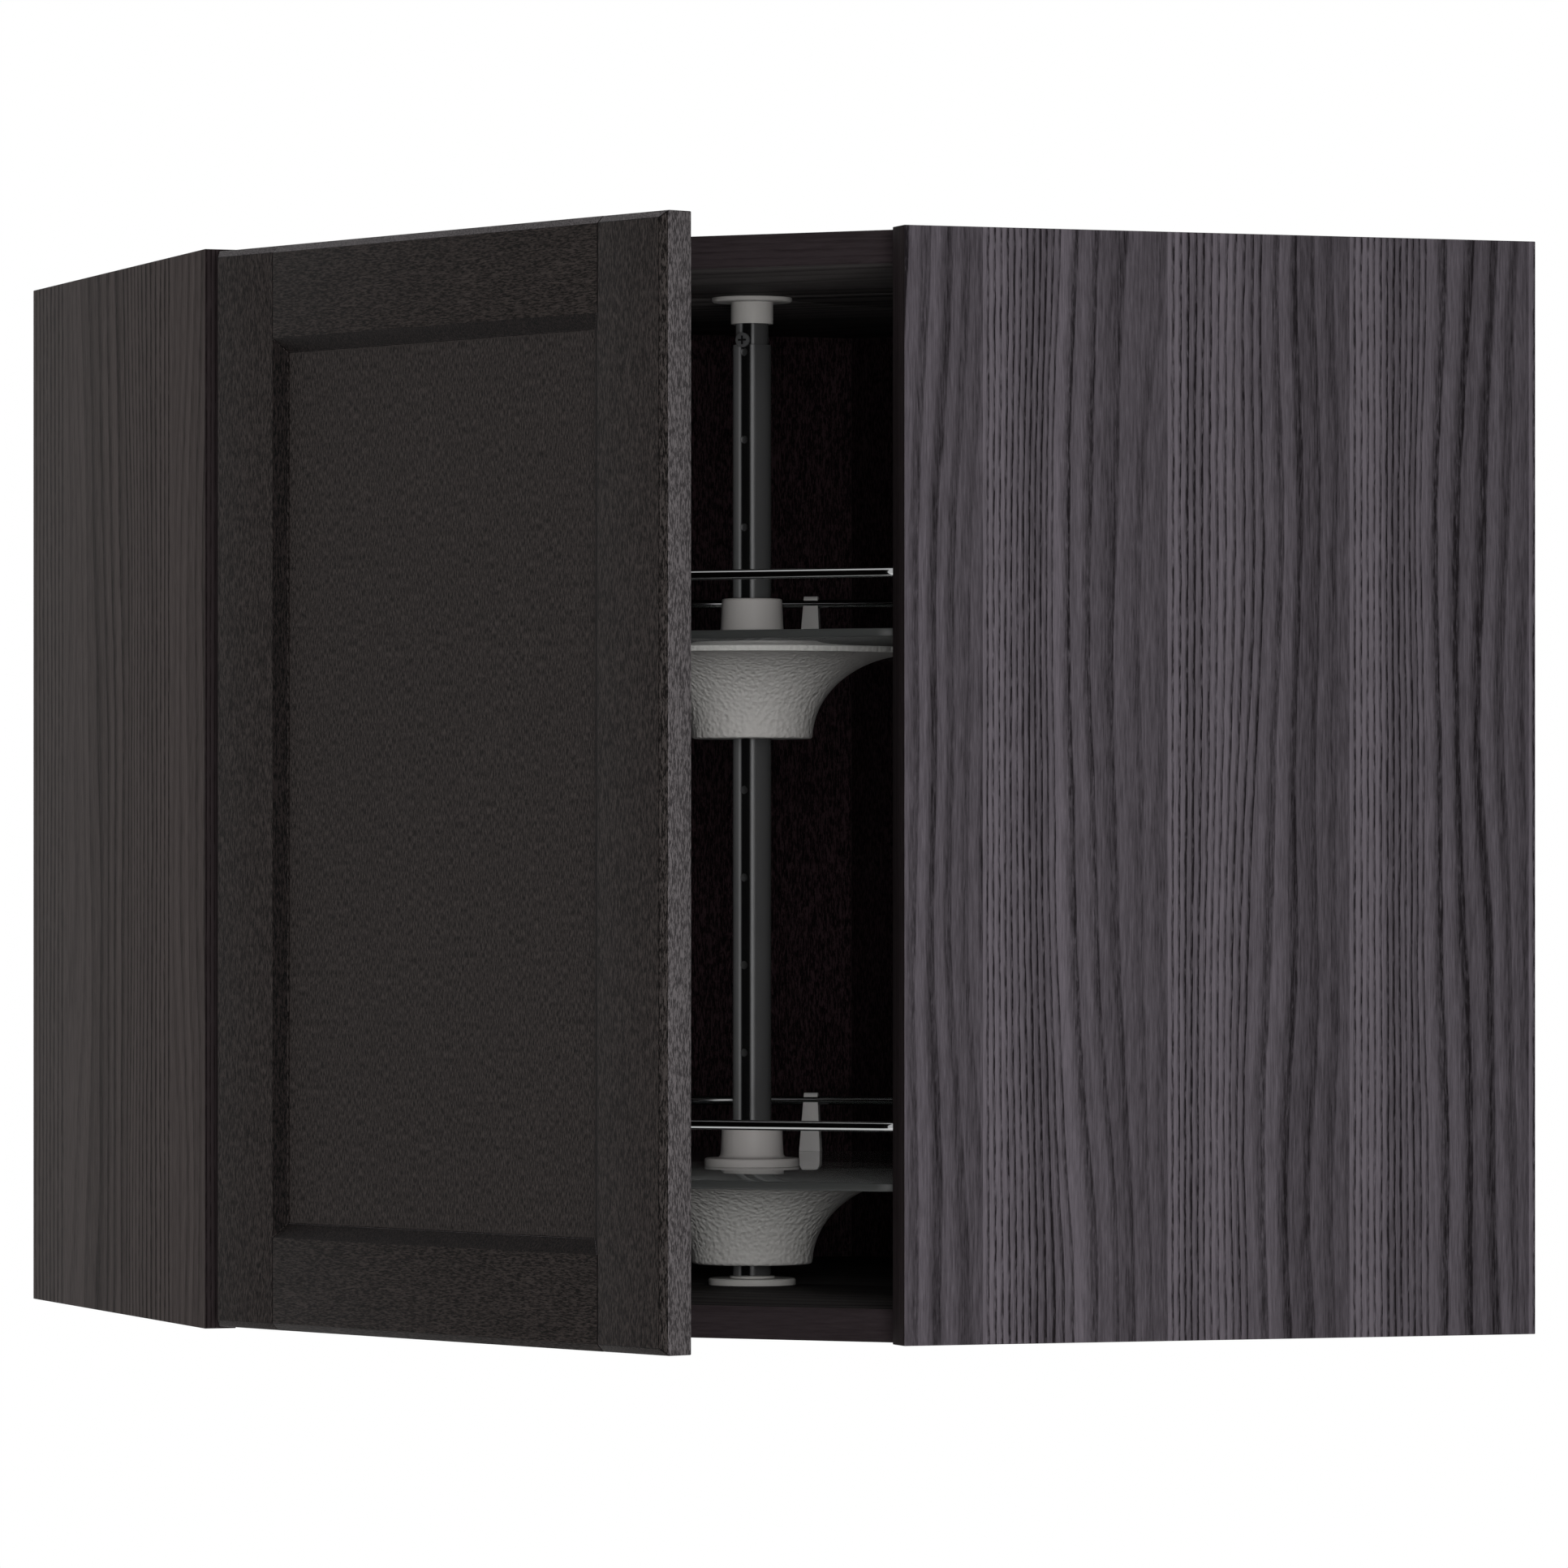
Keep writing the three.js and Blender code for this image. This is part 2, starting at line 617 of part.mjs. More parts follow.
function makeHinge({ name, height }) {
  const pinHole = pinRadius + runningGap;
  const swingHalf = swingLinkThickness / 2;
  const forkInner = swingHalf + runningGap;
  const forkOuter = forkInner + cheekThickness;
  const earInner = forkOuter + runningGap;
  const earOuter = earInner + cheekThickness;
  const layers = (plan, inner, outer, holes) => [
    slab(plan, height + inner, height + outer, holes),
    slab(plan, height - outer, height - inner, holes),
  ];
  const pin = (x, y, half) => bar([x, y, height - half], [x, y, height + half], pinRadius, 12);

  // Plate on the side board, with an upper and a lower wing
  const plateFront = sideFront + plateFrontInset;
  const plateMiddle = plateFront + plateLength / 2;
  const plateFace = sideInner + plateThickness;
  const plate = join(
    block(
      [sideInner, plateFront, height - plateHeight / 2],
      [plateFace, plateFront + plateLength, height + plateHeight / 2],
    ),
    block(
      [sideInner, plateMiddle - wingLength / 2, height - wingHeight / 2],
      [plateFace, plateMiddle + wingLength / 2, height + wingHeight / 2],
    ),
  );
  piece(cabinet, name + "_plate", plate, zincSteel);

  // Arm: a channel along the plate whose two cheeks reach out to its pin
  const at = fromFront(armPin);
  const armBack = plateFace + runningGap;
  const armRear = plateFront + plateLength - armRearInset;
  const armFront = plateFront - plateHeight / 2;
  const reachAngle = -45; // of the cheeks' round end, towards the room
  const cheek = [
    new THREE.Vector2(armBack, armRear),
    new THREE.Vector2(armBack, armFront),
    ...arc(at.x, at.y, knuckleRadius, reachAngle - 90, reachAngle + 120, 10),
    new THREE.Vector2(armBack + armWidth, plateFront),
    new THREE.Vector2(armBack + armWidth, armRear),
  ];
  const web = block(
    [armBack, armFront, height - earOuter],
    [armBack + cheekThickness, armRear, height + earOuter],
  );
  piece(
    cabinet,
    name + "_arm",
    join(web, ...layers(cheek, earInner, earOuter), pin(at.x, at.y, earOuter)),
    zincSteel,
  );

  // Swing link: turns with the door about the arm's pin
  const swingGroup = new THREE.Group();
  swingGroup.position.set(armPin.x, armPin.y, 0);
  swingGroup.rotation.z = door.rotation.z;
  front.add(swingGroup);
  const swingEnd = cupPin.clone().sub(pivot);
  const swingPlan = linkPlan(new THREE.Vector2(), swingEnd, knuckleRadius, knuckleRadius);
  const swingLink = slab(swingPlan, height - swingHalf, height + swingHalf, [
    [0, 0, pinHole, 12],
    [swingEnd.x, swingEnd.y, pinHole, 12],
  ]);
  piece(swingGroup, name + "_swing_link", swingLink, zincSteel);

  // Cup link: keeps its direction while the door turns, and carries the pin between the links
  const cupLinkGroup = new THREE.Group();
  const cupPinNow = cupPin.clone().rotateAround(pivot, door.rotation.z);
  cupLinkGroup.position.set(cupPinNow.x, cupPinNow.y, 0);
  front.add(cupLinkGroup);
  const cupLinkEnd = armPin.clone().sub(pivot);
  const cupLinkPlan = linkPlan(new THREE.Vector2(), cupLinkEnd, knuckleRadius - 1, knuckleRadius);
  const cupLink = join(
    pin(cupLinkEnd.x, cupLinkEnd.y, forkOuter),
    ...layers(cupLinkPlan, forkInner, forkOuter, [[0, 0, pinHole, 12]]),
  );
  piece(cupLinkGroup, name + "_cup_link", cupLink, zincSteel);

  // Cup in the door, with its flange and the two ears that hold its pin
  const cupX = -doorHalf + cupFromEdge;
  const profile = [
    [0, cupDepth],
    [cupRadius - 1, cupDepth],
    [cupRadius, cupDepth - 1],
    [cupRadius, 0],
    [cupRadius + cupRimWidth, 0],
    [cupRadius + cupRimWidth, -flangeThickness],
    [cupRadius - cupWall, -flangeThickness],
    [cupRadius - cupWall, cupDepth - cupWall],
    [0, cupDepth - cupWall],
  ];
  const bowl = turned(profile, 32).rotate([90, 0, 0]).translate([cupX, -doorBack, height]);
  const mouth = bar(
    [cupX, -doorBack - 1, height],
    [cupX, -doorBack + flangeThickness + 1, height],
    cupRadius - 1,
    32,
  );
  const flangeX = cupX + flangeOffset;
  const wings = cut(
    block(
      [flangeX - flangeWidth / 2, -doorBack, height - flangeHeight / 2],
      [flangeX + flangeWidth / 2, -doorBack + flangeThickness, height + flangeHeight / 2],
    ),
    mouth,
  );
  const earFoot = -doorBack - cupDepth + cupWall / 2;
  const earRadius = knuckleRadius - 1;
  const ear = [
    new THREE.Vector2(cupPin.x - earRadius, earFoot),
    new THREE.Vector2(cupPin.x + earRadius, earFoot),
    ...arc(cupPin.x, cupPin.y, earRadius, 0, 180, 8),
  ];
  const cup = join(
    bowl,
    wings,
    ...layers(ear, earInner, earOuter),
    pin(cupPin.x, cupPin.y, earOuter),
  );
  doorPiece(name + "_cup", cup, zincSteel);
}

// ---------- Post ----------

/** A countersunk screw with its head at z = 0 and its point along +Z. */
function flangeScrew() {
  return turned(
    [
      [0, 0],
      [screwHeadRadius, 0],
      [screwHeadRadius, screwHeadEdge],
      [screwRadius, screwHeadHeight],
      [screwRadius, screwLength - 2],
      [0.4, screwLength],
      [0, screwLength],
    ],
    12,
  );
}

/** The hole for such a screw in a flange whose free face is at z = 0. */
function screwHole() {
  const wide = screwHeadRadius + runningGap;
  const narrow = screwRadius + runningGap;
  return turned(
    [
      [0, -1],
      [wide, -1],
      [wide, screwHeadEdge + runningGap],
      [narrow, screwHeadHeight + runningGap],
      [narrow, screwHeadHeight + footThickness],
      [0, screwHeadHeight + footThickness],
    ],
    12,
  );
}

function makePost() {
  const spigotRadius = tubeRadius - tubeWall - runningGap;
  const footTop = boardThickness + footThickness;
  const footFlange = turned(
    [
      [0, boardThickness],
      [footRadius, boardThickness],
      [footRadius, footTop - 0.8],
      [footRadius - 0.8, footTop],
      [footCollarRadius, footTop],
      [footCollarRadius, footTop + footCollarHeight],
      [spigotRadius, footTop + footCollarHeight],
      [spigotRadius, footTop + spigotHeight],
      [0, footTop + spigotHeight],
    ],
    32,
  );
  /** A screw or its hole at one place in a flange, pointing up or down from a free face. */
  const upFrom = (solid, place) => solid.translate([place.x, place.y, headUnderside]);
  const downFrom = (solid, place) => solid.rotate([180, 0, 0]).translate([place.x, place.y, footTop]);
  const footHoles = flangeScrewPlaces.map((place) => downFrom(screwHole(), place));
  piece(front, "post_foot_flange", cut(footFlange, ...footHoles), greyPlastic);

  const headFlange = turned(
    [
      [0, topUnderside],
      [headRadius, topUnderside],
      [headRadius, headUnderside + 0.8],
      [headRadius - 0.8, headUnderside],
      [neckRadius, headUnderside],
      [neckRadius, neckBottom],
      [innerTubeRadius + runningGap, neckBottom],
      [innerTubeRadius + runningGap, neckBottom + neckSocketDepth],
      [0, neckBottom + neckSocketDepth],
    ].reverse(),
    32,
  );
  const headHoles = flangeScrewPlaces.map((place) => upFrom(screwHole(), place));
  piece(front, "post_head_flange", cut(headFlange, ...headHoles), greyPlastic);

  flangeScrewPlaces.forEach((place, i) => {
    piece(front, "head_screw_" + (i + 1), upFrom(flangeScrew(), place), zincSteel);
    piece(front, "foot_screw_" + (i + 1), downFrom(flangeScrew(), place), zincSteel);
  });

  const holeCount = Math.floor((tubeTop - firstHoleHeight) / holePitch) + 1;
  const holes = Array.from({ length: holeCount }, (_, i) => {
    const z = firstHoleHeight + i * holePitch;
    return bar([0, -2 * tubeRadius, z], [0, 2 * tubeRadius, z], holeRadius, 8);
  });
  const outerTube = turned(
    [
      [tubeRadius, postFoot],
      [tubeRadius, tubeTop],
      [tubeRadius - tubeWall, tubeTop],
      [tubeRadius - tubeWall, postFoot],
    ],
    28,
  );
  piece(front, "post_outer_tube", cut(outerTube, ...holes), darkSteel);

  const innerTube = turned(
    [
      [innerTubeRadius, innerTubeBottom],
      [innerTubeRadius, innerTubeTop],
      [innerTubeRadius - innerTubeWall, innerTubeTop],
      [innerTubeRadius - innerTubeWall, innerTubeBottom],
    ],
    28,
  );
  const lockHole = bar(
    [0, -2 * tubeRadius, lockScrewHeight],
    [0, 0, lockScrewHeight],
    lockScrewRadius + runningGap,
    12,
  );
  const pinHoles = holes.filter((_, i) => firstHoleHeight + i * holePitch > innerTubeBottom);
  piece(front, "post_inner_tube", cut(innerTube, lockHole, ...pinHoles), darkSteel);

  const underHead = -(tubeRadius + runningGap);
  const lockScrew = join(
    bar([0, underHead, lockScrewHeight], [0, lockScrewReach, lockScrewHeight], lockScrewRadius, 12),
    bar(
      [0, underHead, lockScrewHeight],
      [0, underHead - lockScrewHeadHeight, lockScrewHeight],
      lockScrewHeadRadius,
      20,
    ),
  );
  piece(front, "post_lock_screw", lockScrew, zincSteel);
}

// ---------- Shelves ----------

/** One clip on the glass edge that holds the rail up, at an angle from the rear. */
function fingerSolid(glassTop, angle) {
  const outer = shelfRadius + fingerOutside;
  const edge = shelfRadius + runningGap;
  const top = glassTop + fingerHeight;
  const glassUnderside = glassTop - glassThickness - runningGap;
  const side = [
    [outer - fingerBaseDepth, glassTop],
    [edge, glassTop],
    [edge, glassUnderside],
    [outer - fingerBaseDepth, glassUnderside],
    [outer - fingerBaseDepth, glassUnderside - fingerLip],
    [outer, glassUnderside - fingerLip],
    [outer, glassTop],
    [railCircle + fingerTopOutside, top - 1],
    [railCircle + fingerTopOutside - 1, top],
    [railCircle - fingerTopInside + 1, top],
    [railCircle - fingerTopInside, top - 1],
  ].map(([u, z]) => new THREE.Vector2(u, z));
  const half = fingerBaseWidth / 2;
  const faceTop = fingerTopWidth / 2;
  const face = [
    ...arc(0, glassTop - fingerDrop + half, half, 180, 360, 8),
    new THREE.Vector2(half, glassTop),
    new THREE.Vector2(faceTop, top),
    new THREE.Vector2(-faceTop, top),
    new THREE.Vector2(-half, glassTop),
  ];
  const deep = { depth: fingerBaseWidth, bevelEnabled: false };
  const long = { depth: outer, bevelEnabled: false };
  const sideSolid = solidOf(
    new THREE.ExtrudeGeometry(new THREE.Shape(side), deep)
      .rotateX(Math.PI / 2)
      .translate(0, half, 0),
  );
  const faceSolid = solidOf(
    new THREE.ExtrudeGeometry(new THREE.Shape(face), long)
      .rotateX(Math.PI / 2)
      .rotateZ(Math.PI / 2),
  );
  const railHole = bar(
    [railCircle, -2 * half, glassTop + railHeight],
    [railCircle, 2 * half, glassTop + railHeight],
    railRadius + 2 * runningGap,
    12,
  );
  return cut(sideSolid.intersect(faceSolid), railHole).rotate([0, 0, 90 + angle]);
}

function makeShelf({ name, glassTop }) {
  const glassUnderside = glassTop - glassThickness;
  const outline = shelfOutline(shelfRadius, shelfChord, shelfCornerRadius, 64, 4);
  const glass = slab(outline, glassUnderside, glassTop, [[0, 0, hubSpigotRadius + 0.4, 24]]);
  piece(front, name + "_shelf_glass", glass, clearGlass);

  // Hub: a collar on the glass that rests on the support pin and centres the shelf on the post
  const pinHeight = glassTop + pinAboveGlass;
  const shoulder = pinHeight + supportPinRadius + runningGap;
  const socket = supportPinReach + runningGap;
  const hubTop = glassTop + hubHeight;
  const hub = turned(
    [
      [hubSpigotRadius, glassUnderside + runningGap],
      [hubSpigotRadius, glassTop],
      [hubDiscRadius, glassTop],
      [hubDiscRadius, glassTop + hubDiscHeight - 1],
      [hubDiscRadius - 1, glassTop + hubDiscHeight],
      [hubConeBase + hubFillet, glassTop + hubDiscHeight],
      [hubConeBase + hubFillet / 4, glassTop + hubDiscHeight + hubFillet / 4],
      [hubConeBase, glassTop + hubDiscHeight + hubFillet],
      [hubConeTop, hubTop - hubTopEdge],
      [hubConeTop - hubTopEdge, hubTop],
      [boreRadius, hubTop],
      [boreRadius, shoulder],
      [socket, shoulder],
      [socket, glassUnderside + runningGap],
    ],
    32,
  );
  piece(front, name + "_shelf_hub", hub, greyPlastic);

  // Bell: a flared shell under the glass, with a sleeve round the post
  const bottom = glassUnderside - bellHeight;
  const flare = bellRimRadius - bellBottomRadius;
  const rise = bellHeight - bellLip;
  const flareSteps = 8;
  const curve = (radiusShift, heightShift, from) =>
    Array.from({ length: flareSteps + 1 - from }, (_, i) => {
      const turn = (Math.PI / 2) * ((i + from) / flareSteps);
      return [
        bellBottomRadius + radiusShift + flare * (1 - Math.cos(turn)),
        bottom + heightShift + rise * Math.sin(turn),
      ];
    });
  const floorTop = bottom + bellWall;
  const outside = curve(0, 0, 1);
  const inside = curve(-bellWall, bellWall, 1).filter(([, z]) => z < glassUnderside - 0.4);
  const bell = turned(
    [
      [boreRadius, bottom],
      [bellBottomRadius - bellEdge, bottom],
      [bellBottomRadius, bottom + bellEdge],
      ...outside,
      [bellRimRadius, glassUnderside],
      [bellRimRadius - bellWall, glassUnderside],
      ...inside.reverse(),
      [bellBottomRadius - bellWall, floorTop],
      [sleeveRadius, floorTop],
      [sleeveRadius, glassUnderside],
      [boreRadius, glassUnderside],
    ],
    36,
  );
  piece(front, name + "_shelf_bell", bell, lightPlastic);

  // Rail, carried by clips on the glass edge
  const railLine = shelfOutline(railCircle, railChord, shelfCornerRadius, 60, 5);
  const rail = ringRod(railLine, glassTop + railHeight, railRadius, 8);
  piece(front, name + "_shelf_rail", rail, chrome);
  for (const [side, word] of [[1, "left"], [-1, "right"]]) {
    fingerAngles.forEach((angle, i) => {
      const place = ["rear", "middle", "front"][i];
      const finger = fingerSolid(glassTop, side * angle);
      piece(front, [name, "rail_clip", word, place].join("_"), finger, greyPlastic);
    });
  }

  const supportPin = bar(
    [0, -supportPinReach, pinHeight],
    [0, supportPinReach, pinHeight],
    supportPinRadius,
    12,
  );
  piece(front, name + "_support_pin", supportPin, zincSteel);
}

makeBoards();
makeHangingBrackets();
makeDoor();
hinges.forEach(makeHinge);
makePost();
shelves.forEach(makeShelf);

export default cabinet;
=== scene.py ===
"""Looks for a wall-hung corner cabinet with a glass carousel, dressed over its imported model."""

import logging
import math
from collections.abc import Callable, Iterable, Sequence
from dataclasses import dataclass
from enum import Enum, IntEnum

import bmesh
import bpy
from mathutils import Matrix, Vector


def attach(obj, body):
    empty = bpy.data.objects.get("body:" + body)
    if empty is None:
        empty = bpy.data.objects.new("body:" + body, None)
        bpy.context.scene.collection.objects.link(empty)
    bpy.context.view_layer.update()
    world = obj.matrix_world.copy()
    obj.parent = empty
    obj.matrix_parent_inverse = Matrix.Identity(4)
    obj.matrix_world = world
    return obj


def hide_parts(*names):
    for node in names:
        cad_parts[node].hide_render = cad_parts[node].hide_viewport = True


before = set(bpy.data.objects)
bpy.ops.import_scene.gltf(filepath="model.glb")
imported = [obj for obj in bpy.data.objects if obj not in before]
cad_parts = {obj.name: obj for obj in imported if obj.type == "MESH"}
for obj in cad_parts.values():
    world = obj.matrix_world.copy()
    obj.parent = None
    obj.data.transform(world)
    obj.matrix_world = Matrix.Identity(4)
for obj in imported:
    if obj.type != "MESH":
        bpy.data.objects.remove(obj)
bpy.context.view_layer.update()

MM = 0.001
LOG = logging.getLogger("cabinet")

Socket = bpy.types.NodeSocket
Material = bpy.types.Material
Mesh = bmesh.types.BMesh
Face = bmesh.types.BMFace
FaceChoice = Callable[[Face], int]
Section = list[bmesh.types.BMVert | bmesh.types.BMEdge]
Colour = tuple[float, float, float]
Profile = Sequence[tuple[float, float]]

# A Mix node has sockets of one name for each of its data types, so these go by number.
MIX_FACTOR = 0
MIX_FIRST_COLOUR = 6
MIX_SECOND_COLOUR = 7
MIX_COLOUR = 2

FRONT_TURN = 45.0  # degrees from the model's X axis to the diagonal front
WELD = 1e-6  # metres within which two vertices are one
FLAT = 0.5  # the least share of a face's normal along a direction that it is said to face
TUMBLED = (900.0, 900.0, 900.0)  # waves per metre on metal whose marks run no way in particular
SEEN_RAYS = ("Is Camera Ray", "Is Glossy Ray", "Is Transmission Ray")


# ---------- Shader maths ----------


class Value:
    """A number that varies over a surface. Its operators add Math nodes."""

    def __init__(self, recipe: "Recipe", socket: Socket) -> None:
        """Wraps a socket of a recipe's tree."""
        self.recipe = recipe
        self.socket = socket

    def _math(self, operation: str, *terms: "Value | float") -> "Value":
        """Adds one Math node over the given terms."""
        sockets = dict(enumerate(terms))
        node = self.recipe.node("ShaderNodeMath", {"operation": operation}, sockets)
        return Value(self.recipe, node.outputs[0])

    def __add__(self, other: "Value | float") -> "Value":
        """The sum."""
        return self._math("ADD", self, other)

    __radd__ = __add__

    def __sub__(self, other: "Value | float") -> "Value":
        """The difference."""
        return self._math("SUBTRACT", self, other)

    def __rsub__(self, other: float) -> "Value":
        """The difference, from a plain number."""
        return self._math("SUBTRACT", other, self)

    def __mul__(self, other: "Value | float") -> "Value":
        """The product."""
        return self._math("MULTIPLY", self, other)

    __rmul__ = __mul__

    def fraction(self) -> "Value":
        """What is left after the whole part."""
        return self._math("FRACT", self)

    def clipped(self) -> "Value":
        """The value kept between 0 and 1."""
        return self._math("MAXIMUM", self._math("MINIMUM", self, 1.0), 0.0)

    def step(self, low: float, high: float) -> "Value":
        """A smooth step.

        Args:
            low: Where the step starts, at 0.
            high: Where it ends, at 1. It may lie below low, which turns the step round.

        Returns:
            The step's value.
        """
        node = self.recipe.node(
            "ShaderNodeMapRange",
            {"interpolation_type": "SMOOTHSTEP"},
            {"Value": self, "From Min": low, "From Max": high},
        )
        return Value(self.recipe, node.outputs[0])


class Recipe:
    """The node tree of a material or a world."""

    def __init__(self, owner: bpy.types.Material | bpy.types.World) -> None:
        """Empties the owner's tree.

        Args:
            owner: The material or world that the tree belongs to.
        """
        owner.use_nodes = True
        self.owner = owner
        self.tree = owner.node_tree
        self.tree.nodes.clear()

    @classmethod
    def of_material(cls, name: str) -> "Recipe":
        """A new material's tree."""
        return cls(bpy.data.materials.new(name))

    def node(
        self,
        kind: str,
        settings: dict[str, object] | None = None,
        sockets: dict[str | int, object] | None = None,
    ) -> bpy.types.Node:
        """Adds a node.

        Args:
            kind: The node's type.
            settings: Its own properties, set first.
            sockets: A value or a link for each of its inputs.

        Returns:
            The node.
        """
        made = self.tree.nodes.new(kind)
        for name, value in (settings or {}).items():
            setattr(made, name, value)
        for key, value in (sockets or {}).items():
            socket = made.inputs[key]
            source = value.socket if isinstance(value, Value) else value
            if isinstance(source, Socket):
                self.tree.links.new(source, socket)
            else:
                socket.default_value = source
        return made

    def place(self, turn: float = 0.0) -> Socket:
        """Adds object coordinates, turned about Z.

        Args:
            turn: How far, in degrees.

        Returns:
            The coordinates.
        """
        coordinates = self.node("ShaderNodeTexCoord")
        mapping = self.node(
            "ShaderNodeMapping",
            sockets={
                "Vector": coordinates.outputs["Object"],
                "Rotation": (0.0, 0.0, math.radians(turn)),
            },
        )
        return mapping.outputs[0]

    def axis(self, place: Socket, index: int) -> Value:
        """One of a place's three coordinates."""
        parts = self.node("ShaderNodeSeparateXYZ", sockets={0: place})
        return Value(self, parts.outputs[index])

    def across(self, place: Socket, grain: "Grain") -> Value:
        """The way across a grain, counted on over a board's faces and its edges."""
        first, second = (i for i in range(3) if i != grain.value)
        return self.axis(place, first) + self.axis(place, second)

    def noise(
        self,
        place: Socket,
        stretch: Sequence[float],
        detail: float = 2.0,
        roughness: float = 0.5,
    ) -> Value:
        """Noise on stretched coordinates.

        Args:
            place: The coordinates.
            stretch: Waves per metre along each axis.
            detail: Octaves.
            roughness: Strength of the finer octaves.

        Returns:
            The noise, from 0 to 1.
        """
        stretched = self.node(
            "ShaderNodeVectorMath", {"operation": "MULTIPLY"}, {0: place, 1: tuple(stretch)}
        )
        made = self.node(
            "ShaderNodeTexNoise",
            sockets={
                "Vector": stretched.outputs[0],
                "Scale": 1.0,
                "Detail": detail,
                "Roughness": roughness,
            },
        )
        return Value(self, made.outputs[0])

    def point(self, x: Value | float, y: Value | float, z: Value | float) -> Socket:
        """A vector from three numbers."""
        return self.node("ShaderNodeCombineXYZ", sockets={0: x, 1: y, 2: z}).outputs[0]

    def tint(self, mask: Value, low: Colour, high: Colour) -> Socket:
        """Blends two colours.

        Args:
            mask: What blends them.
            low: The colour where the mask is 0.
            high: The colour where it is 1.

        Returns:
            The colour in between.
        """
        made = self.node(
            "ShaderNodeMix",
            {"data_type": "RGBA"},
            {MIX_FACTOR: mask, MIX_FIRST_COLOUR: (*low, 1.0), MIX_SECOND_COLOUR: (*high, 1.0)},
        )
        return made.outputs[MIX_COLOUR]

    def rays(self, *kinds: str) -> Value:
        """Tells some kinds of ray from the rest.

        Args:
            kinds: The kinds' names.

        Returns:
            1 for these kinds and 0 for the rest.
        """
        path = self.node("ShaderNodeLightPath")
        chosen = Value(self, path.outputs[kinds[0]])
        for kind in kinds[1:]:
            chosen = chosen + Value(self, path.outputs[kind])
        return chosen.clipped()

    def principled(
        self,
        colour: Socket | Colour,
        roughness: Value | float,
        height: Value | None = None,
        depth: float = 0.0,
        constants: dict[str, object] | None = None,
    ) -> Socket:
        """Adds a Principled shader.

        Args:
            colour: Base colour or a link to one.
            roughness: A number or what varies it.
            height: What raises and lowers the surface.
            depth: How far, in metres.
            constants: Other sockets' values.

        Returns:
            The shader's output.
        """
        base = (*colour, 1.0) if isinstance(colour, tuple) else colour
        sockets: dict[str | int, object] = {"Base Color": base, "Roughness": roughness}
        sockets.update(constants or {})
        if height is not None:
            bump = self.node(
                "ShaderNodeBump", sockets={"Height": height, "Distance": depth, "Strength": 1.0}
            )
            sockets["Normal"] = bump.outputs[0]
        return self.node("ShaderNodeBsdfPrincipled", sockets=sockets).outputs[0]

    def mixed(self, factor: Value, first: Socket, second: Socket) -> Socket:
        """A mix of two shaders."""
        return self.node("ShaderNodeMixShader", sockets={0: factor, 1: first, 2: second}).outputs[0]

    def close(self, shader: Socket) -> bpy.types.Material | bpy.types.World:
        """Sends a shader to the output.

        Args:
            shader: The finished shader.

        Returns:
            The material or world.
        """
        kind = "World" if isinstance(self.owner, bpy.types.World) else "Material"
        self.node(f"ShaderNodeOutput{kind}", sockets={"Surface": shader})
        return self.owner


# ---------- Finishes ----------


def scaled(colour: Colour, share: float) -> Colour:
    """A colour made darker or lighter by a share."""
    red, green, blue = colour
    return (red * share, green * share, blue * share)


class Grain(Enum):
    """Which way a board's grain runs."""

    UPRIGHT = 2
    LEVEL = 0

    def stretch(self, across: float, along: float) -> tuple[float, float, float]:
        """Spreads a board's waves over the axes.

        Args:
            across: Waves per metre across the grain.
            along: Waves per metre along it.

        Returns:
            Waves per metre on each axis.
        """
        waves = [across, across, across]
        waves[self.value] = along
        return (waves[0], waves[1], waves[2])


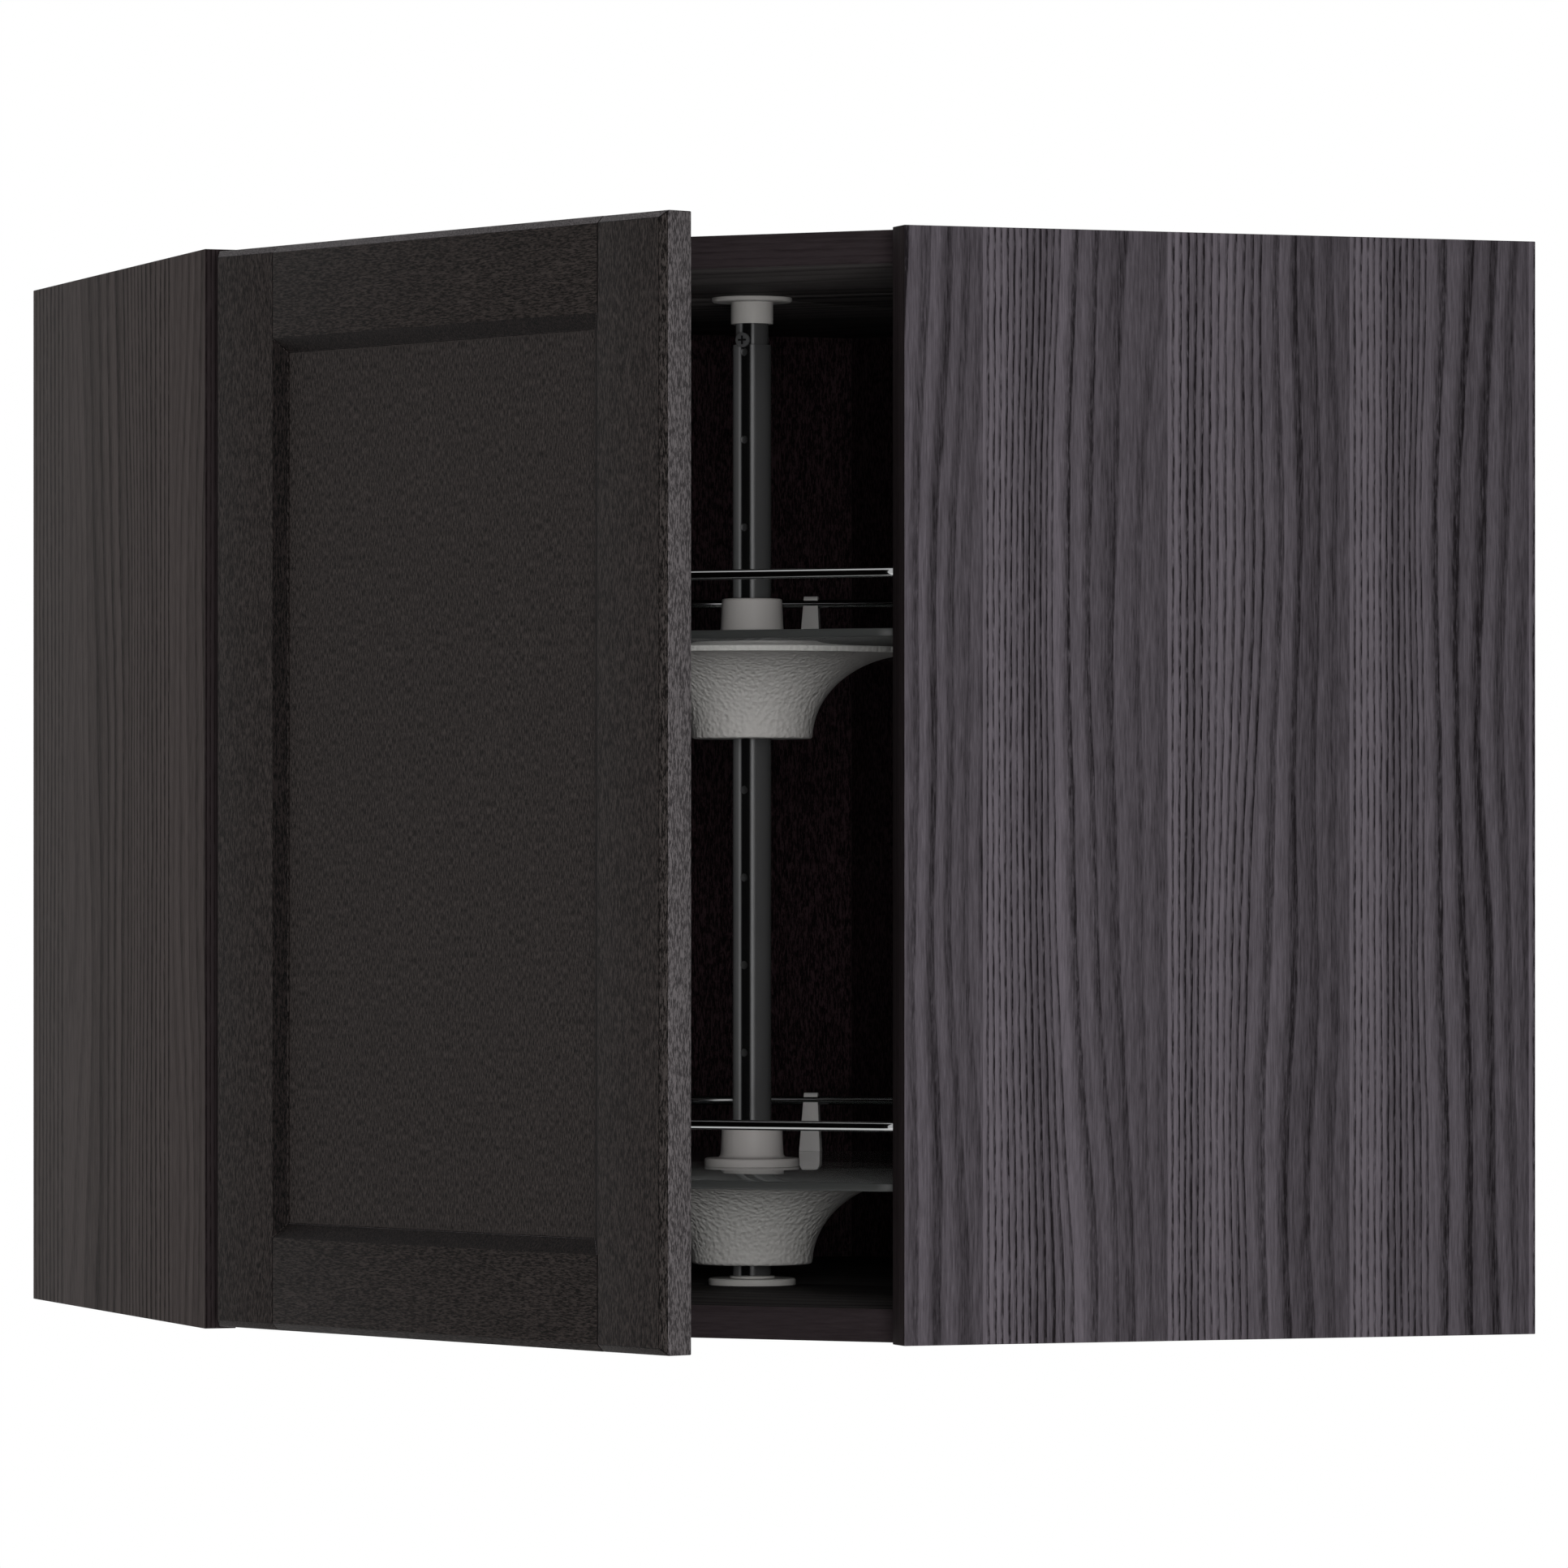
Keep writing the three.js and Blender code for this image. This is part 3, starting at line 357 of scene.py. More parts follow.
@dataclass(frozen=True)
class RingFoil:
    """Printed foil of matched leaves: ring lines close together at one side, bands at the other.

    turn brings the board's own direction onto the X axis, in degrees. leaf is a leaf's width and
    start the place of the first, in metres. rings is the number of rings to a leaf's width, which
    is less by slowing from the share wide_from of the leaf on. The other shares say how far each
    pattern darkens the foil, and fade how far a leaf darkens from side to side. A line starts and
    ends within its ring as line_start and line_end say. depth is the relief in metres.
    """

    name: str
    dark: Colour
    light: Colour
    turn: float = 0.0
    grain: Grain = Grain.UPRIGHT
    leaf: float = 107 * MM
    start: float = -321 * MM
    rings: float = 27.0
    wide_from: float = 0.45
    slowing: float = 19.0
    sway: float = 0.8
    line_share: float = 0.95
    band_share: float = 0.3
    fibre_share: float = 0.55
    fade: float = 0.12
    line_start: tuple[float, float] = (0.36, 0.88)
    line_end: tuple[float, float] = (1.0, 0.91)
    band_ends: tuple[float, float] = (0.36, 0.64)
    depth: float = 0.00006
    shine: float = 0.01

    def build(self) -> Material:
        """Builds the finish.

        Returns:
            The material.
        """
        r = Recipe.of_material(self.name)
        place = r.place(self.turn)
        leaves = (r.across(place, self.grain) - self.start) * (1.0 / self.leaf)
        along = leaves.fraction()
        bend = r.noise(place, self.grain.stretch(9.0, 1.9), roughness=0.4) - 0.5
        flow = bend * along * self.sway
        ripple = r.noise(place, self.grain.stretch(150.0, 45.0)) - 0.5
        bent = along + flow + ripple * 0.012
        slow = (bent - self.wide_from).clipped() * self.slowing
        rings = (bent * self.rings - slow).fraction()
        late = rings.step(*self.line_start) * rings.step(*self.line_end)
        chips = r.noise(place, self.grain.stretch(800.0, 150.0), roughness=0.6)
        line = late * (chips * 2.4 - 0.45 + along * 0.4).clipped() * (1.0 - along * 0.85)
        tone = r.noise(r.point(leaves + flow, 0.0, 0.0), (5.0, 1.0, 1.0), roughness=0.55)
        fibre = r.noise(place, self.grain.stretch(1100.0, 60.0), 3.0, 0.7)
        shade = (
            1.0
            - along * self.fade
            - line * self.line_share
            - tone.step(*self.band_ends) * self.band_share
            + (fibre - 0.5) * self.fibre_share * 2.0
        ).clipped()
        shader = r.principled(
            r.tint(shade, self.dark, self.light),
            0.62 - fibre * 0.1,
            fibre * 0.5 - line,
            self.depth,
            {"Specular IOR Level": self.shine},
        )
        return r.close(shader)


@dataclass(frozen=True)
class FineVeneer:
    """Stained open-pored veneer with short fine streaks and flecks in patches.

    turn brings the board's own direction onto the X axis, in degrees. contrast is the streaks'
    strength, fleck that of the flecks and mottle that of the broad clouds. tone is the shade
    between dark and light where none of them acts, and depth the relief in metres.
    """

    name: str
    dark: Colour
    light: Colour
    turn: float = 0.0
    grain: Grain = Grain.UPRIGHT
    fleck: float = 0.25
    mottle: float = 0.1
    contrast: float = 6.5
    tone: float = 0.42
    depth: float = 0.00007
    shine: float = 0.06

    def build(self) -> Material:
        """Builds the finish.

        Returns:
            The material.
        """
        r = Recipe.of_material(self.name)
        place = r.place(self.turn)
        streak = r.noise(place, self.grain.stretch(1500.0, 260.0), roughness=0.75)
        pore = r.noise(place, self.grain.stretch(620.0, 75.0)).step(0.57, 0.66)
        cloud = r.noise(place, self.grain.stretch(22.0, 5.0))
        patch = r.noise(place, self.grain.stretch(55.0, 22.0)).step(0.46, 0.62)
        shade = (
            (streak - 0.5) * self.contrast
            + self.tone
            + pore * patch * self.fleck
            + (cloud - 0.5) * self.mottle
        ).clipped()
        shader = r.principled(
            r.tint(shade, self.dark, self.light),
            0.6 - streak * 0.1,
            streak - pore * 0.5,
            self.depth,
            {"Specular IOR Level": self.shine},
        )
        return r.close(shader)


@dataclass(frozen=True)
class MouldedPlastic:
    """Moulded plastic with a fine leather-like or a nearly smooth skin.

    cell is the size of the skin's cells and depth their height, in metres. spread is the share
    by which the colour wanders.
    """

    name: str
    colour: Colour
    roughness: float = 0.42
    cell: float = 2.4 * MM
    depth: float = 0.00012
    spread: float = 0.04
    shine: float = 0.35

    def build(self) -> Material:
        """Builds the finish.

        Returns:
            The material.
        """
        r = Recipe.of_material(self.name)
        place = r.place()
        waves = 1.0 / self.cell
        cells = r.node(
            "ShaderNodeTexVoronoi",
            {"feature": "SMOOTH_F1"},
            {"Vector": place, "Scale": waves, "Smoothness": 0.6},
        )
        skin = Value(r, cells.outputs[0]) * 0.7 + r.noise(place, [waves * 0.8] * 3) * 0.6
        cloud = r.noise(place, (14.0, 14.0, 14.0))
        low = scaled(self.colour, 1.0 - self.spread)
        high = scaled(self.colour, 1.0 + self.spread)
        shader = r.principled(
            r.tint(cloud, low, high),
            self.roughness + (cloud - 0.5) * 0.08,
            skin,
            self.depth,
            {"Specular IOR Level": self.shine},
        )
        return r.close(shader)


def metal_marks(
    r: Recipe, place: Socket, stretch: Sequence[float] = (2600.0, 2600.0, 8.0)
) -> tuple[Value, Value]:
    """Fine lines on metal, by their waves per metre on each axis, and its broad smudges."""
    return r.noise(place, stretch), r.noise(place, (35.0, 35.0, 12.0))


@dataclass(frozen=True)
class DrawnMetal:
    """Metal, bare or dulled, with faint lines along its length or from turning.

    stretch gives the lines' waves per metre on each axis, depth their height in metres, and
    bare the share of the surface that is metal and not a dull skin. spread is the share by which
    the colour wanders.
    """

    name: str
    colour: Colour
    roughness: float
    stretch: tuple[float, float, float] = (2600.0, 2600.0, 8.0)
    depth: float = 0.000004
    bare: float = 1.0
    spread: float = 0.08

    def build(self) -> Material:
        """Builds the finish.

        Returns:
            The material.
        """
        r = Recipe.of_material(self.name)
        lines, smudge = metal_marks(r, r.place(), self.stretch)
        low = scaled(self.colour, 1.0 - self.spread)
        shader = r.principled(
            r.tint(smudge, low, self.colour),
            self.roughness + (smudge - 0.5) * 0.06 + lines * 0.03,
            lines,
            self.depth,
            {"Metallic": self.bare},
        )
        return r.close(shader)


@dataclass(frozen=True)
class PaintedReflectionTube:
    """Dark drawn steel with painted reflections: a dark streak between two light lines down its
    front.

    turn brings the tube's front frame onto the axes, in degrees. Places across the tube are shares
    of its radius, to the right of its middle as seen from the front. tone is the steel's shade
    between dark and light, raised on the left by a painted reflection. Each line is a painted
    highlight and the dark streak a painted reflection, each with its strength; depth is the relief
    in metres and bare the share that is metal.
    """

    name: str
    dark: Colour
    light: Colour
    radius: float
    turn: float
    tone: float = 0.21
    left_painted_light: float = 0.33
    dark_painted_reflection: tuple[float, float] = (-0.13, 0.33)
    left_painted_highlight: tuple[float, float] = (-0.3, -0.18)
    right_painted_highlight: tuple[float, float] = (0.38, 0.47)
    dark_reflection_share: float = 0.95
    left_share: float = 0.45
    right_share: float = 0.15
    blur: float = 0.04
    roughness: float = 0.16
    depth: float = 0.00002
    bare: float = 0.4

    def _band(self, across: Value, ends: tuple[float, float]) -> Value:
        """1 between two places across the tube and 0 outside them, with soft sides."""
        low, high = ends
        return across.step(low - self.blur, low + self.blur) * across.step(
            high + self.blur, high - self.blur
        )

    def build(self) -> Material:
        """Builds the finish.

        Returns:
            The material.
        """
        r = Recipe.of_material(self.name)
        place = r.place(self.turn)
        across = r.axis(place, 0) * (1.0 / self.radius)
        lines, smudge = metal_marks(r, place)
        # The lighter left side, the dark streak and the two light lines are painted reflections,
        # fixed on the tube.
        tone = (
            (self.tone + across.step(0.0, -0.3) * self.left_painted_light + (smudge - 0.5) * 0.1)
            * (1.0 - self._band(across, self.dark_painted_reflection) * self.dark_reflection_share)
            + self._band(across, self.left_painted_highlight) * self.left_share
            + self._band(across, self.right_painted_highlight) * self.right_share
        ).clipped()
        shader = r.principled(
            r.tint(tone, self.dark, self.light),
            self.roughness + (smudge - 0.5) * 0.06 + lines * 0.03,
            lines,
            self.depth,
            {"Metallic": self.bare},
        )
        return r.close(shader)


@dataclass(frozen=True)
class ShelfGlass:
    """Tempered glass that lets the lamps through: a clear face, or its ground edge.

    through is the share of light that goes into the glass, shine the strength of its gloss,
    shadow the colour of light that has passed it, and depth the height of its waves in metres.
    """

    name: str
    colour: Colour
    roughness: float
    through: float
    shine: float = 0.25
    shadow: Colour = (0.9, 0.94, 0.93)
    index: float = 1.5
    depth: float = 0.00001
    spread: float = 0.04

    def build(self) -> Material:
        """Builds the finish.

        Returns:
            The material.
        """
        r = Recipe.of_material(self.name)
        wave = r.noise(r.place(), (30.0, 30.0, 30.0))
        low = scaled(self.colour, 1.0 - self.spread)
        constants = {
            "Transmission Weight": self.through,
            "IOR": self.index,
            "Specular IOR Level": self.shine,
        }
        colour = r.tint(wave, low, self.colour)
        glass = r.principled(colour, wave * 0.02 + self.roughness, wave, self.depth, constants)
        open_way = r.node("ShaderNodeBsdfTransparent", sockets={"Color": (*self.shadow, 1.0)})
        return r.close(r.mixed(r.rays("Is Shadow Ray"), glass, open_way.outputs[0]))


# ---------- Meshes ----------


def front_turn() -> Matrix:
    """Brings the front frame, X to the right and Y inwards seen from the front, into place."""
    return Matrix.Rotation(-math.radians(FRONT_TURN), 4, "Z")


def merged_copy(node: str) -> Mesh:
    """Copies a CAD node's shape as one connected mesh with its flat faces whole.

    Args:
        node: The CAD node.

    Returns:
        The copy.
    """
    mesh = bmesh.new()
    mesh.from_mesh(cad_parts[node].data)
    bmesh.ops.remove_doubles(mesh, verts=mesh.verts, dist=WELD)
    coplanar = math.radians(0.5)
    bmesh.ops.dissolve_limit(mesh, angle_limit=coplanar, verts=mesh.verts, edges=mesh.edges)
    return mesh


def soften(mesh: Mesh, width: float, angle: float, segments: int) -> None:
    """Rounds a mesh's sharp edges.

    Args:
        mesh: What is rounded.
        width: The bevel's width in metres.
        angle: The least angle between two faces that is rounded, in degrees.
        segments: Steps across the bevel.
    """
    limit = math.radians(angle)
    sharp = [e for e in mesh.edges if e.is_manifold and e.calc_face_angle(0.0) > limit]
    bmesh.ops.bevel(
        mesh,
        geom=sharp,
        offset=width,
        affect="EDGES",
        segments=segments,
        profile=0.5,
        material=-1,
        clamp_overlap=True,
    )


def turned(profile: Profile, steps: int = 96) -> Mesh:
    """A shape turned about Z.

    Args:
        profile: Radius and height pairs in millimetres that close on themselves.
        steps: Faces around.

    Returns:
        The shape.
    """
    mesh = bmesh.new()
    verts = [mesh.verts.new((radius * MM, 0.0, z * MM)) for radius, z in profile]
    edges = [mesh.edges.new(pair) for pair in zip(verts, [*verts[1:], verts[0]])]
    bmesh.ops.spin(
        mesh,
        geom=[*verts, *edges],
        cent=(0.0, 0.0, 0.0),
        axis=(0.0, 0.0, 1.0),
        angle=2 * math.pi,
        steps=steps,
        use_merge=True,
    )
    bmesh.ops.remove_doubles(mesh, verts=mesh.verts, dist=WELD)
    bmesh.ops.recalc_face_normals(mesh, faces=mesh.faces)
    return mesh


def rounded(profile: Profile, radii: dict[int, float]) -> list[tuple[float, float]]:
    """A profile with some of its corners rounded.

    Args:
        profile: Radius and height pairs that close on themselves.
        radii: The rounding at each numbered corner, in millimetres.

    Returns:
        The new profile.
    """
    steps = 5
    made: list[tuple[float, float]] = []
    points = [Vector(p) for p in profile]
    for i, corner in enumerate(points):
        radius = radii.get(i, 0.0)
        if not radius:
            made.append((corner.x, corner.y))
            continue
        before = (points[i - 1] - corner).normalized()
        after = (points[(i + 1) % len(points)] - corner).normalized()
        start, end = corner + before * radius, corner + after * radius
        for k in range(steps + 1):
            share = k / steps
            at = start.lerp(corner, share).lerp(corner.lerp(end, share), share)
            made.append((at.x, at.y))
    return made


def scene_object(name: str, data: bpy.types.ID) -> bpy.types.Object:
    """Puts an object with the given data into the scene.

    Args:
        name: The object's name.
        data: Its mesh, lamp or camera.

    Returns:
        The object.
    """
    made = bpy.data.objects.new(name, data)
    bpy.context.scene.collection.objects.link(made)
    return made


def mesh_object(name: str, mesh: Mesh) -> bpy.types.Object:
    """Puts a mesh into the scene.

    Args:
        name: The name of the object and its mesh.
        mesh: Its shape, used up by the call.

    Returns:
        The object.
    """
    data = bpy.data.meshes.new(name)
    mesh.to_mesh(data)
    mesh.free()
    return scene_object(name, data)


def place_piece(
    name: str,
    mesh: Mesh,
    finishes: Sequence[Material],
    body: str,
    slot: str,
    nodes: Iterable[str],
    smooth: float = 32.0,
) -> None:
    """Makes a shown piece of a mesh that already lies where it belongs.

    Args:
        name: The piece's name.
        mesh: Its shape, used up by the call.
        finishes: Its materials, in the order of its faces' indices.
        body: The CAD body that it rides on.
        slot: Not used.
        nodes: The CAD nodes that it stands for.
        smooth: Edges sharper than this many degrees stay crisp.
    """
    limit = math.radians(smooth)
    for face in mesh.faces:
        face.smooth = True
    for edge in mesh.edges:
        edge.smooth = edge.is_manifold and edge.calc_face_angle(0.0) < limit
    piece = mesh_object(name, mesh)
    for finish in finishes:
        piece.data.materials.append(finish)
    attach(piece, body)
    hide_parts(*nodes)
    LOG.info("%s stands for %s on %s", name, ", ".join(nodes), body)


def sort_faces(mesh: Mesh, choose: FaceChoice) -> None:
    """Gives every face the material index that choose returns for it."""
    for face in mesh.faces:
        face.material_index = choose(face)


def by_side(out: Vector) -> FaceChoice:
    """Makes a rule that sorts a board's faces.

    Args:
        out: The way that the board's first face looks.

    Returns:
        The rule, which gives 0 for that face, 1 for the one behind it and 2 for the edges.
    """

    def choose(face: Face) -> int:
        """The face's place among the finishes."""
        along = face.normal.dot(out)
        return 0 if along > FLAT else 1 if along < -FLAT else 2

    return choose


def dress(
    node: str,
    finishes: Sequence[Material],
    body: str,
    slot: str,
    width: float = 0.0,
    angle: float = 40.0,
    segments: int = 2,
    choose: FaceChoice | None = None,
) -> None:
    """Shows a CAD node's own shape with its sharp edges rounded.

    Args:
        node: The CAD node.
        finishes: Its materials, in the order of the numbers that choose returns.
        body: The CAD body that it rides on.
        slot: Passed on, but not used.
        width: The rounding's width in metres, or 0 for none.
        angle: The least angle between two faces that is rounded, in degrees.
        segments: Steps across the rounding.
        choose: Gives each face its finish. Without it, all have the first one.
    """
    mesh = merged_copy(node)
    if width:
        soften(mesh, width, angle, segments)
    if choose:
        sort_faces(mesh, choose)
    place_piece(f"{node}_dressed", mesh, finishes, body, slot, [node])


# ---------- Sub-assemblies ----------


@dataclass
class Carcass:
    """The boards, the backs and the hanging brackets."""

    edge_round: float = 0.35 * MM
    back_round: float = 0.2 * MM
    bracket_round: float = 0.4 * MM
    body: str = "cabinet"

    def build(self) -> None:
        """Makes all the pieces."""
        self._side_boards()
        self._level_boards()
        self._backs()
        self._brackets()

    def _side_boards(self) -> None:
        """The two outer boards, with banded front edges and darker inner faces."""
        left = RingFoil(
            "left foil",
            (0.016, 0.0132, 0.0127),
            (0.066, 0.0554, 0.0535),
            turn=-90.0,
            leaf=230 * MM,
            slowing=14.0,
            sway=0.6,
            line_share=1.3,
            fibre_share=0.8,
        ).build()
        right = RingFoil(
            "right foil", (0.0095, 0.0080, 0.0092), (0.106, 0.0937, 0.1078), fade=0.44
        ).build()
        inner = RingFoil("inner foil", (0.008, 0.0066, 0.007), (0.028, 0.024, 0.025)).build()
        band = RingFoil(
            "edge band", (0.006, 0.0045, 0.0046), (0.023, 0.018, 0.019), leaf=23 * MM, rings=9.0
        ).build()
        look = (self.body, "cabinet_foil", self.edge_round)
        for node, foil, out in (
            ("side_board_left", left, Vector((-1, 0, 0))),
            ("side_board_right", right, Vector((0, -1, 0))),
        ):
            dress(node, [foil, inner, band], *look, choose=by_side(out))

    def _level_boards(self) -> None:
        """The top and bottom boards, grained along the diagonal front, with undersides painted
        lighter as painted light from below.
        """

        def foil(name: str, dark: Colour, light: Colour) -> Material:
            """A broad foil for a board's face."""
            return RingFoil(
                name,
                dark,
                light,
                turn=FRONT_TURN,
                grain=Grain.LEVEL,
                leaf=420 * MM,
                rings=16.0,
                slowing=5.0,
            ).build()

        face = foil("level foil", (0.009, 0.0081, 0.0081), (0.041, 0.0372, 0.0368))
        edge = RingFoil(
            "level edge",
            (0.0040, 0.0026, 0.0030),
            (0.022, 0.0173, 0.0187),
            turn=FRONT_TURN,
            grain=Grain.LEVEL,
            leaf=60 * MM,
            rings=16.0,
            line_share=0.35,
            band_share=0.15,
        ).build()
        # The undersides take a copy of the face foil twice as light: painted light from below.
        under = foil("underside foil painted lighter", (0.018, 0.0162, 0.0162), (0.082, 0.0744, 0.0736))
        look = (self.body, "cabinet_foil", self.edge_round)
        for node in ("top_board", "bottom_board"):
            dress(node, [face, under, edge], *look, choose=by_side(Vector((0, 0, 1))))

    def _backs(self) -> None:
        """The thin boards along the walls and across the rear corner."""
        for node, turn, tone in (
            ("back_board_left", 0.0, 1.0),
            ("back_board_right", -90.0, 1.0),
            ("corner_board", FRONT_TURN, 0.5),
        ):
            foil = FineVeneer(
                f"{node} foil",
                scaled((0.0035, 0.0023, 0.0026), tone),
                scaled((0.036, 0.0212, 0.0243), tone),
                turn,
                fleck=0.9,
                mottle=0.3,
            ).build()
            dress(node, [foil], self.body, "back_foil", self.back_round, segments=1)

    def _brackets(self) -> None:
        """The steel hooks at the upper rear."""
        steel = DrawnMetal("bracket steel", (0.45, 0.46, 0.47), 0.35).build()
        for side in ("left", "right"):
            node = f"hanging_bracket_{side}"
            dress(node, [steel], self.body, "zinc_steel", self.bracket_round)


class DoorSide(IntEnum):
    """What a face of the door's frame is, which is also its place among the finishes."""

    FACE = 0
    EDGE_AND_PAINTED_TOP_LIGHT = 1
    GROOVE = 2
    FREE_CHAMFER = 3


@dataclass
class Door:
    """The framed door, its panel and its bumpers.

    rest is how far the door stands open in the model, in degrees. The slopes are shares of a
    face's normal that point into the cabinet, or up for end_slope.
    """

    edge_round: float = 0.55 * MM
    edge_angle: float = 30.0
    bumper_round: float = 0.4 * MM
    rest: float = 25.0
    moulding_slope: tuple[float, float] = (-0.95, -0.78)
    front_slope: float = -0.6
    back_slope: float = 0.75
    end_slope: float = 0.75
    body: str = "door"

    def build(self) -> None:
        """Makes all the pieces."""
        turn = FRONT_TURN + self.rest
        upright = FineVeneer(
            "stile ash",
            (0.0045, 0.0037, 0.0035),
            (0.0295, 0.0244, 0.023),
            turn,
            fleck=0.12,
            contrast=5.5,
        ).build()
        level = FineVeneer(
            "rail ash",
            (0.0031, 0.0025, 0.0023),
            (0.0255, 0.0208, 0.0193),
            turn,
            grain=Grain.LEVEL,
            fleck=0.9,
            contrast=4.5,
        ).build()
        panel = FineVeneer(
            "panel ash", (0.0045, 0.0037, 0.0034), (0.0315, 0.0262, 0.0247), turn
        ).build()
        edge = FineVeneer(
            "edge ash and painted top light", (0.027, 0.0243, 0.0252), (0.101, 0.092, 0.0945), turn, fleck=0.6, mottle=0.3
        ).build()
        groove = FineVeneer(
            "groove ash", (0.0005, 0.0004, 0.0004), (0.011, 0.0085, 0.0081), turn, fleck=0.9
        ).build()
        chamfer = FineVeneer(
            "chamfer ash", (0.003, 0.0024, 0.0022), (0.034, 0.029, 0.0275), turn, fleck=0.9
        ).build()
        unturned = Matrix.Rotation(math.radians(turn), 3, "Z")
        stiles = ("door_stile_left", "door_stile_right")
        places = [(unturned @ v.co).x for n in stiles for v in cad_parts[n].data.vertices]
        ends = (min(places), max(places))

        def choose(face: Face) -> DoorSide:
            """Sorts a face of the frame.

            Args:
                face: The face.

            Returns:
                What it is. Edges are light, and so are front chamfers that face up, as painted
                light from above; the moulding and the joints are dark grooves.
            """
            sideways, inwards, upwards = unturned @ face.normal
            if self.moulding_slope[0] < inwards < self.moulding_slope[1]:
                return DoorSide.GROOVE
            if inwards < self.front_slope:
                # A front chamfer that faces up takes the light edge finish: painted light from
                # above.
                if upwards > FLAT:
                    return DoorSide.EDGE_AND_PAINTED_TOP_LIGHT
                return DoorSide.FREE_CHAMFER if sideways > FLAT else DoorSide.FACE
            if inwards > self.back_slope:
                return DoorSide.FACE
            centre = (unturned @ face.calc_center_median()).x
            outer = min(abs(centre - end) for end in ends) < MM
            return DoorSide.EDGE_AND_PAINTED_TOP_LIGHT if outer or abs(upwards) > self.end_slope else DoorSide.GROOVE

        look = (self.body, "door_ash", self.edge_round, self.edge_angle)
        for node, ash in (
            ("door_stile_left", upright),
            ("door_stile_right", upright),
            ("door_rail_top", level),
            ("door_rail_bottom", level),
        ):
            dress(node, [ash, edge, groove, chamfer], *look, choose=choose)
        dress("door_panel", [panel], self.body, "door_ash")
        rubber = MouldedPlastic("bumper rubber", (0.5, 0.5, 0.48), 0.6).build()
        for node in ("door_bumper_lower", "door_bumper_upper"):
            dress(node, [rubber], self.body, "bumper", self.bumper_round, segments=3)


@dataclass
class Hinges:
    """The plates, arms, links and cups of both hinges."""

    edge_round: float = 0.3 * MM

    def build(self) -> None:
        """Makes all the pieces."""
        steel = DrawnMetal("hinge nickel", (0.5, 0.5, 0.49), 0.28, TUMBLED).build()
        for level in ("lower", "upper"):
            for part, body, width in (
                ("plate", "cabinet", self.edge_round),
                ("arm", "cabinet", self.edge_round),
                ("swing_link", "swing_links", 0.0),
                ("cup_link", "cup_links", 0.0),
                ("cup", "door", 0.0),
            ):
                dress(f"hinge_{level}_{part}", [steel], body, "zinc_steel", width)


@dataclass(frozen=True)
class Tube:
    """One of the post's tubes, in millimetres."""

    node: str
    radius: float
    wall: float
    foot: float
    top: float


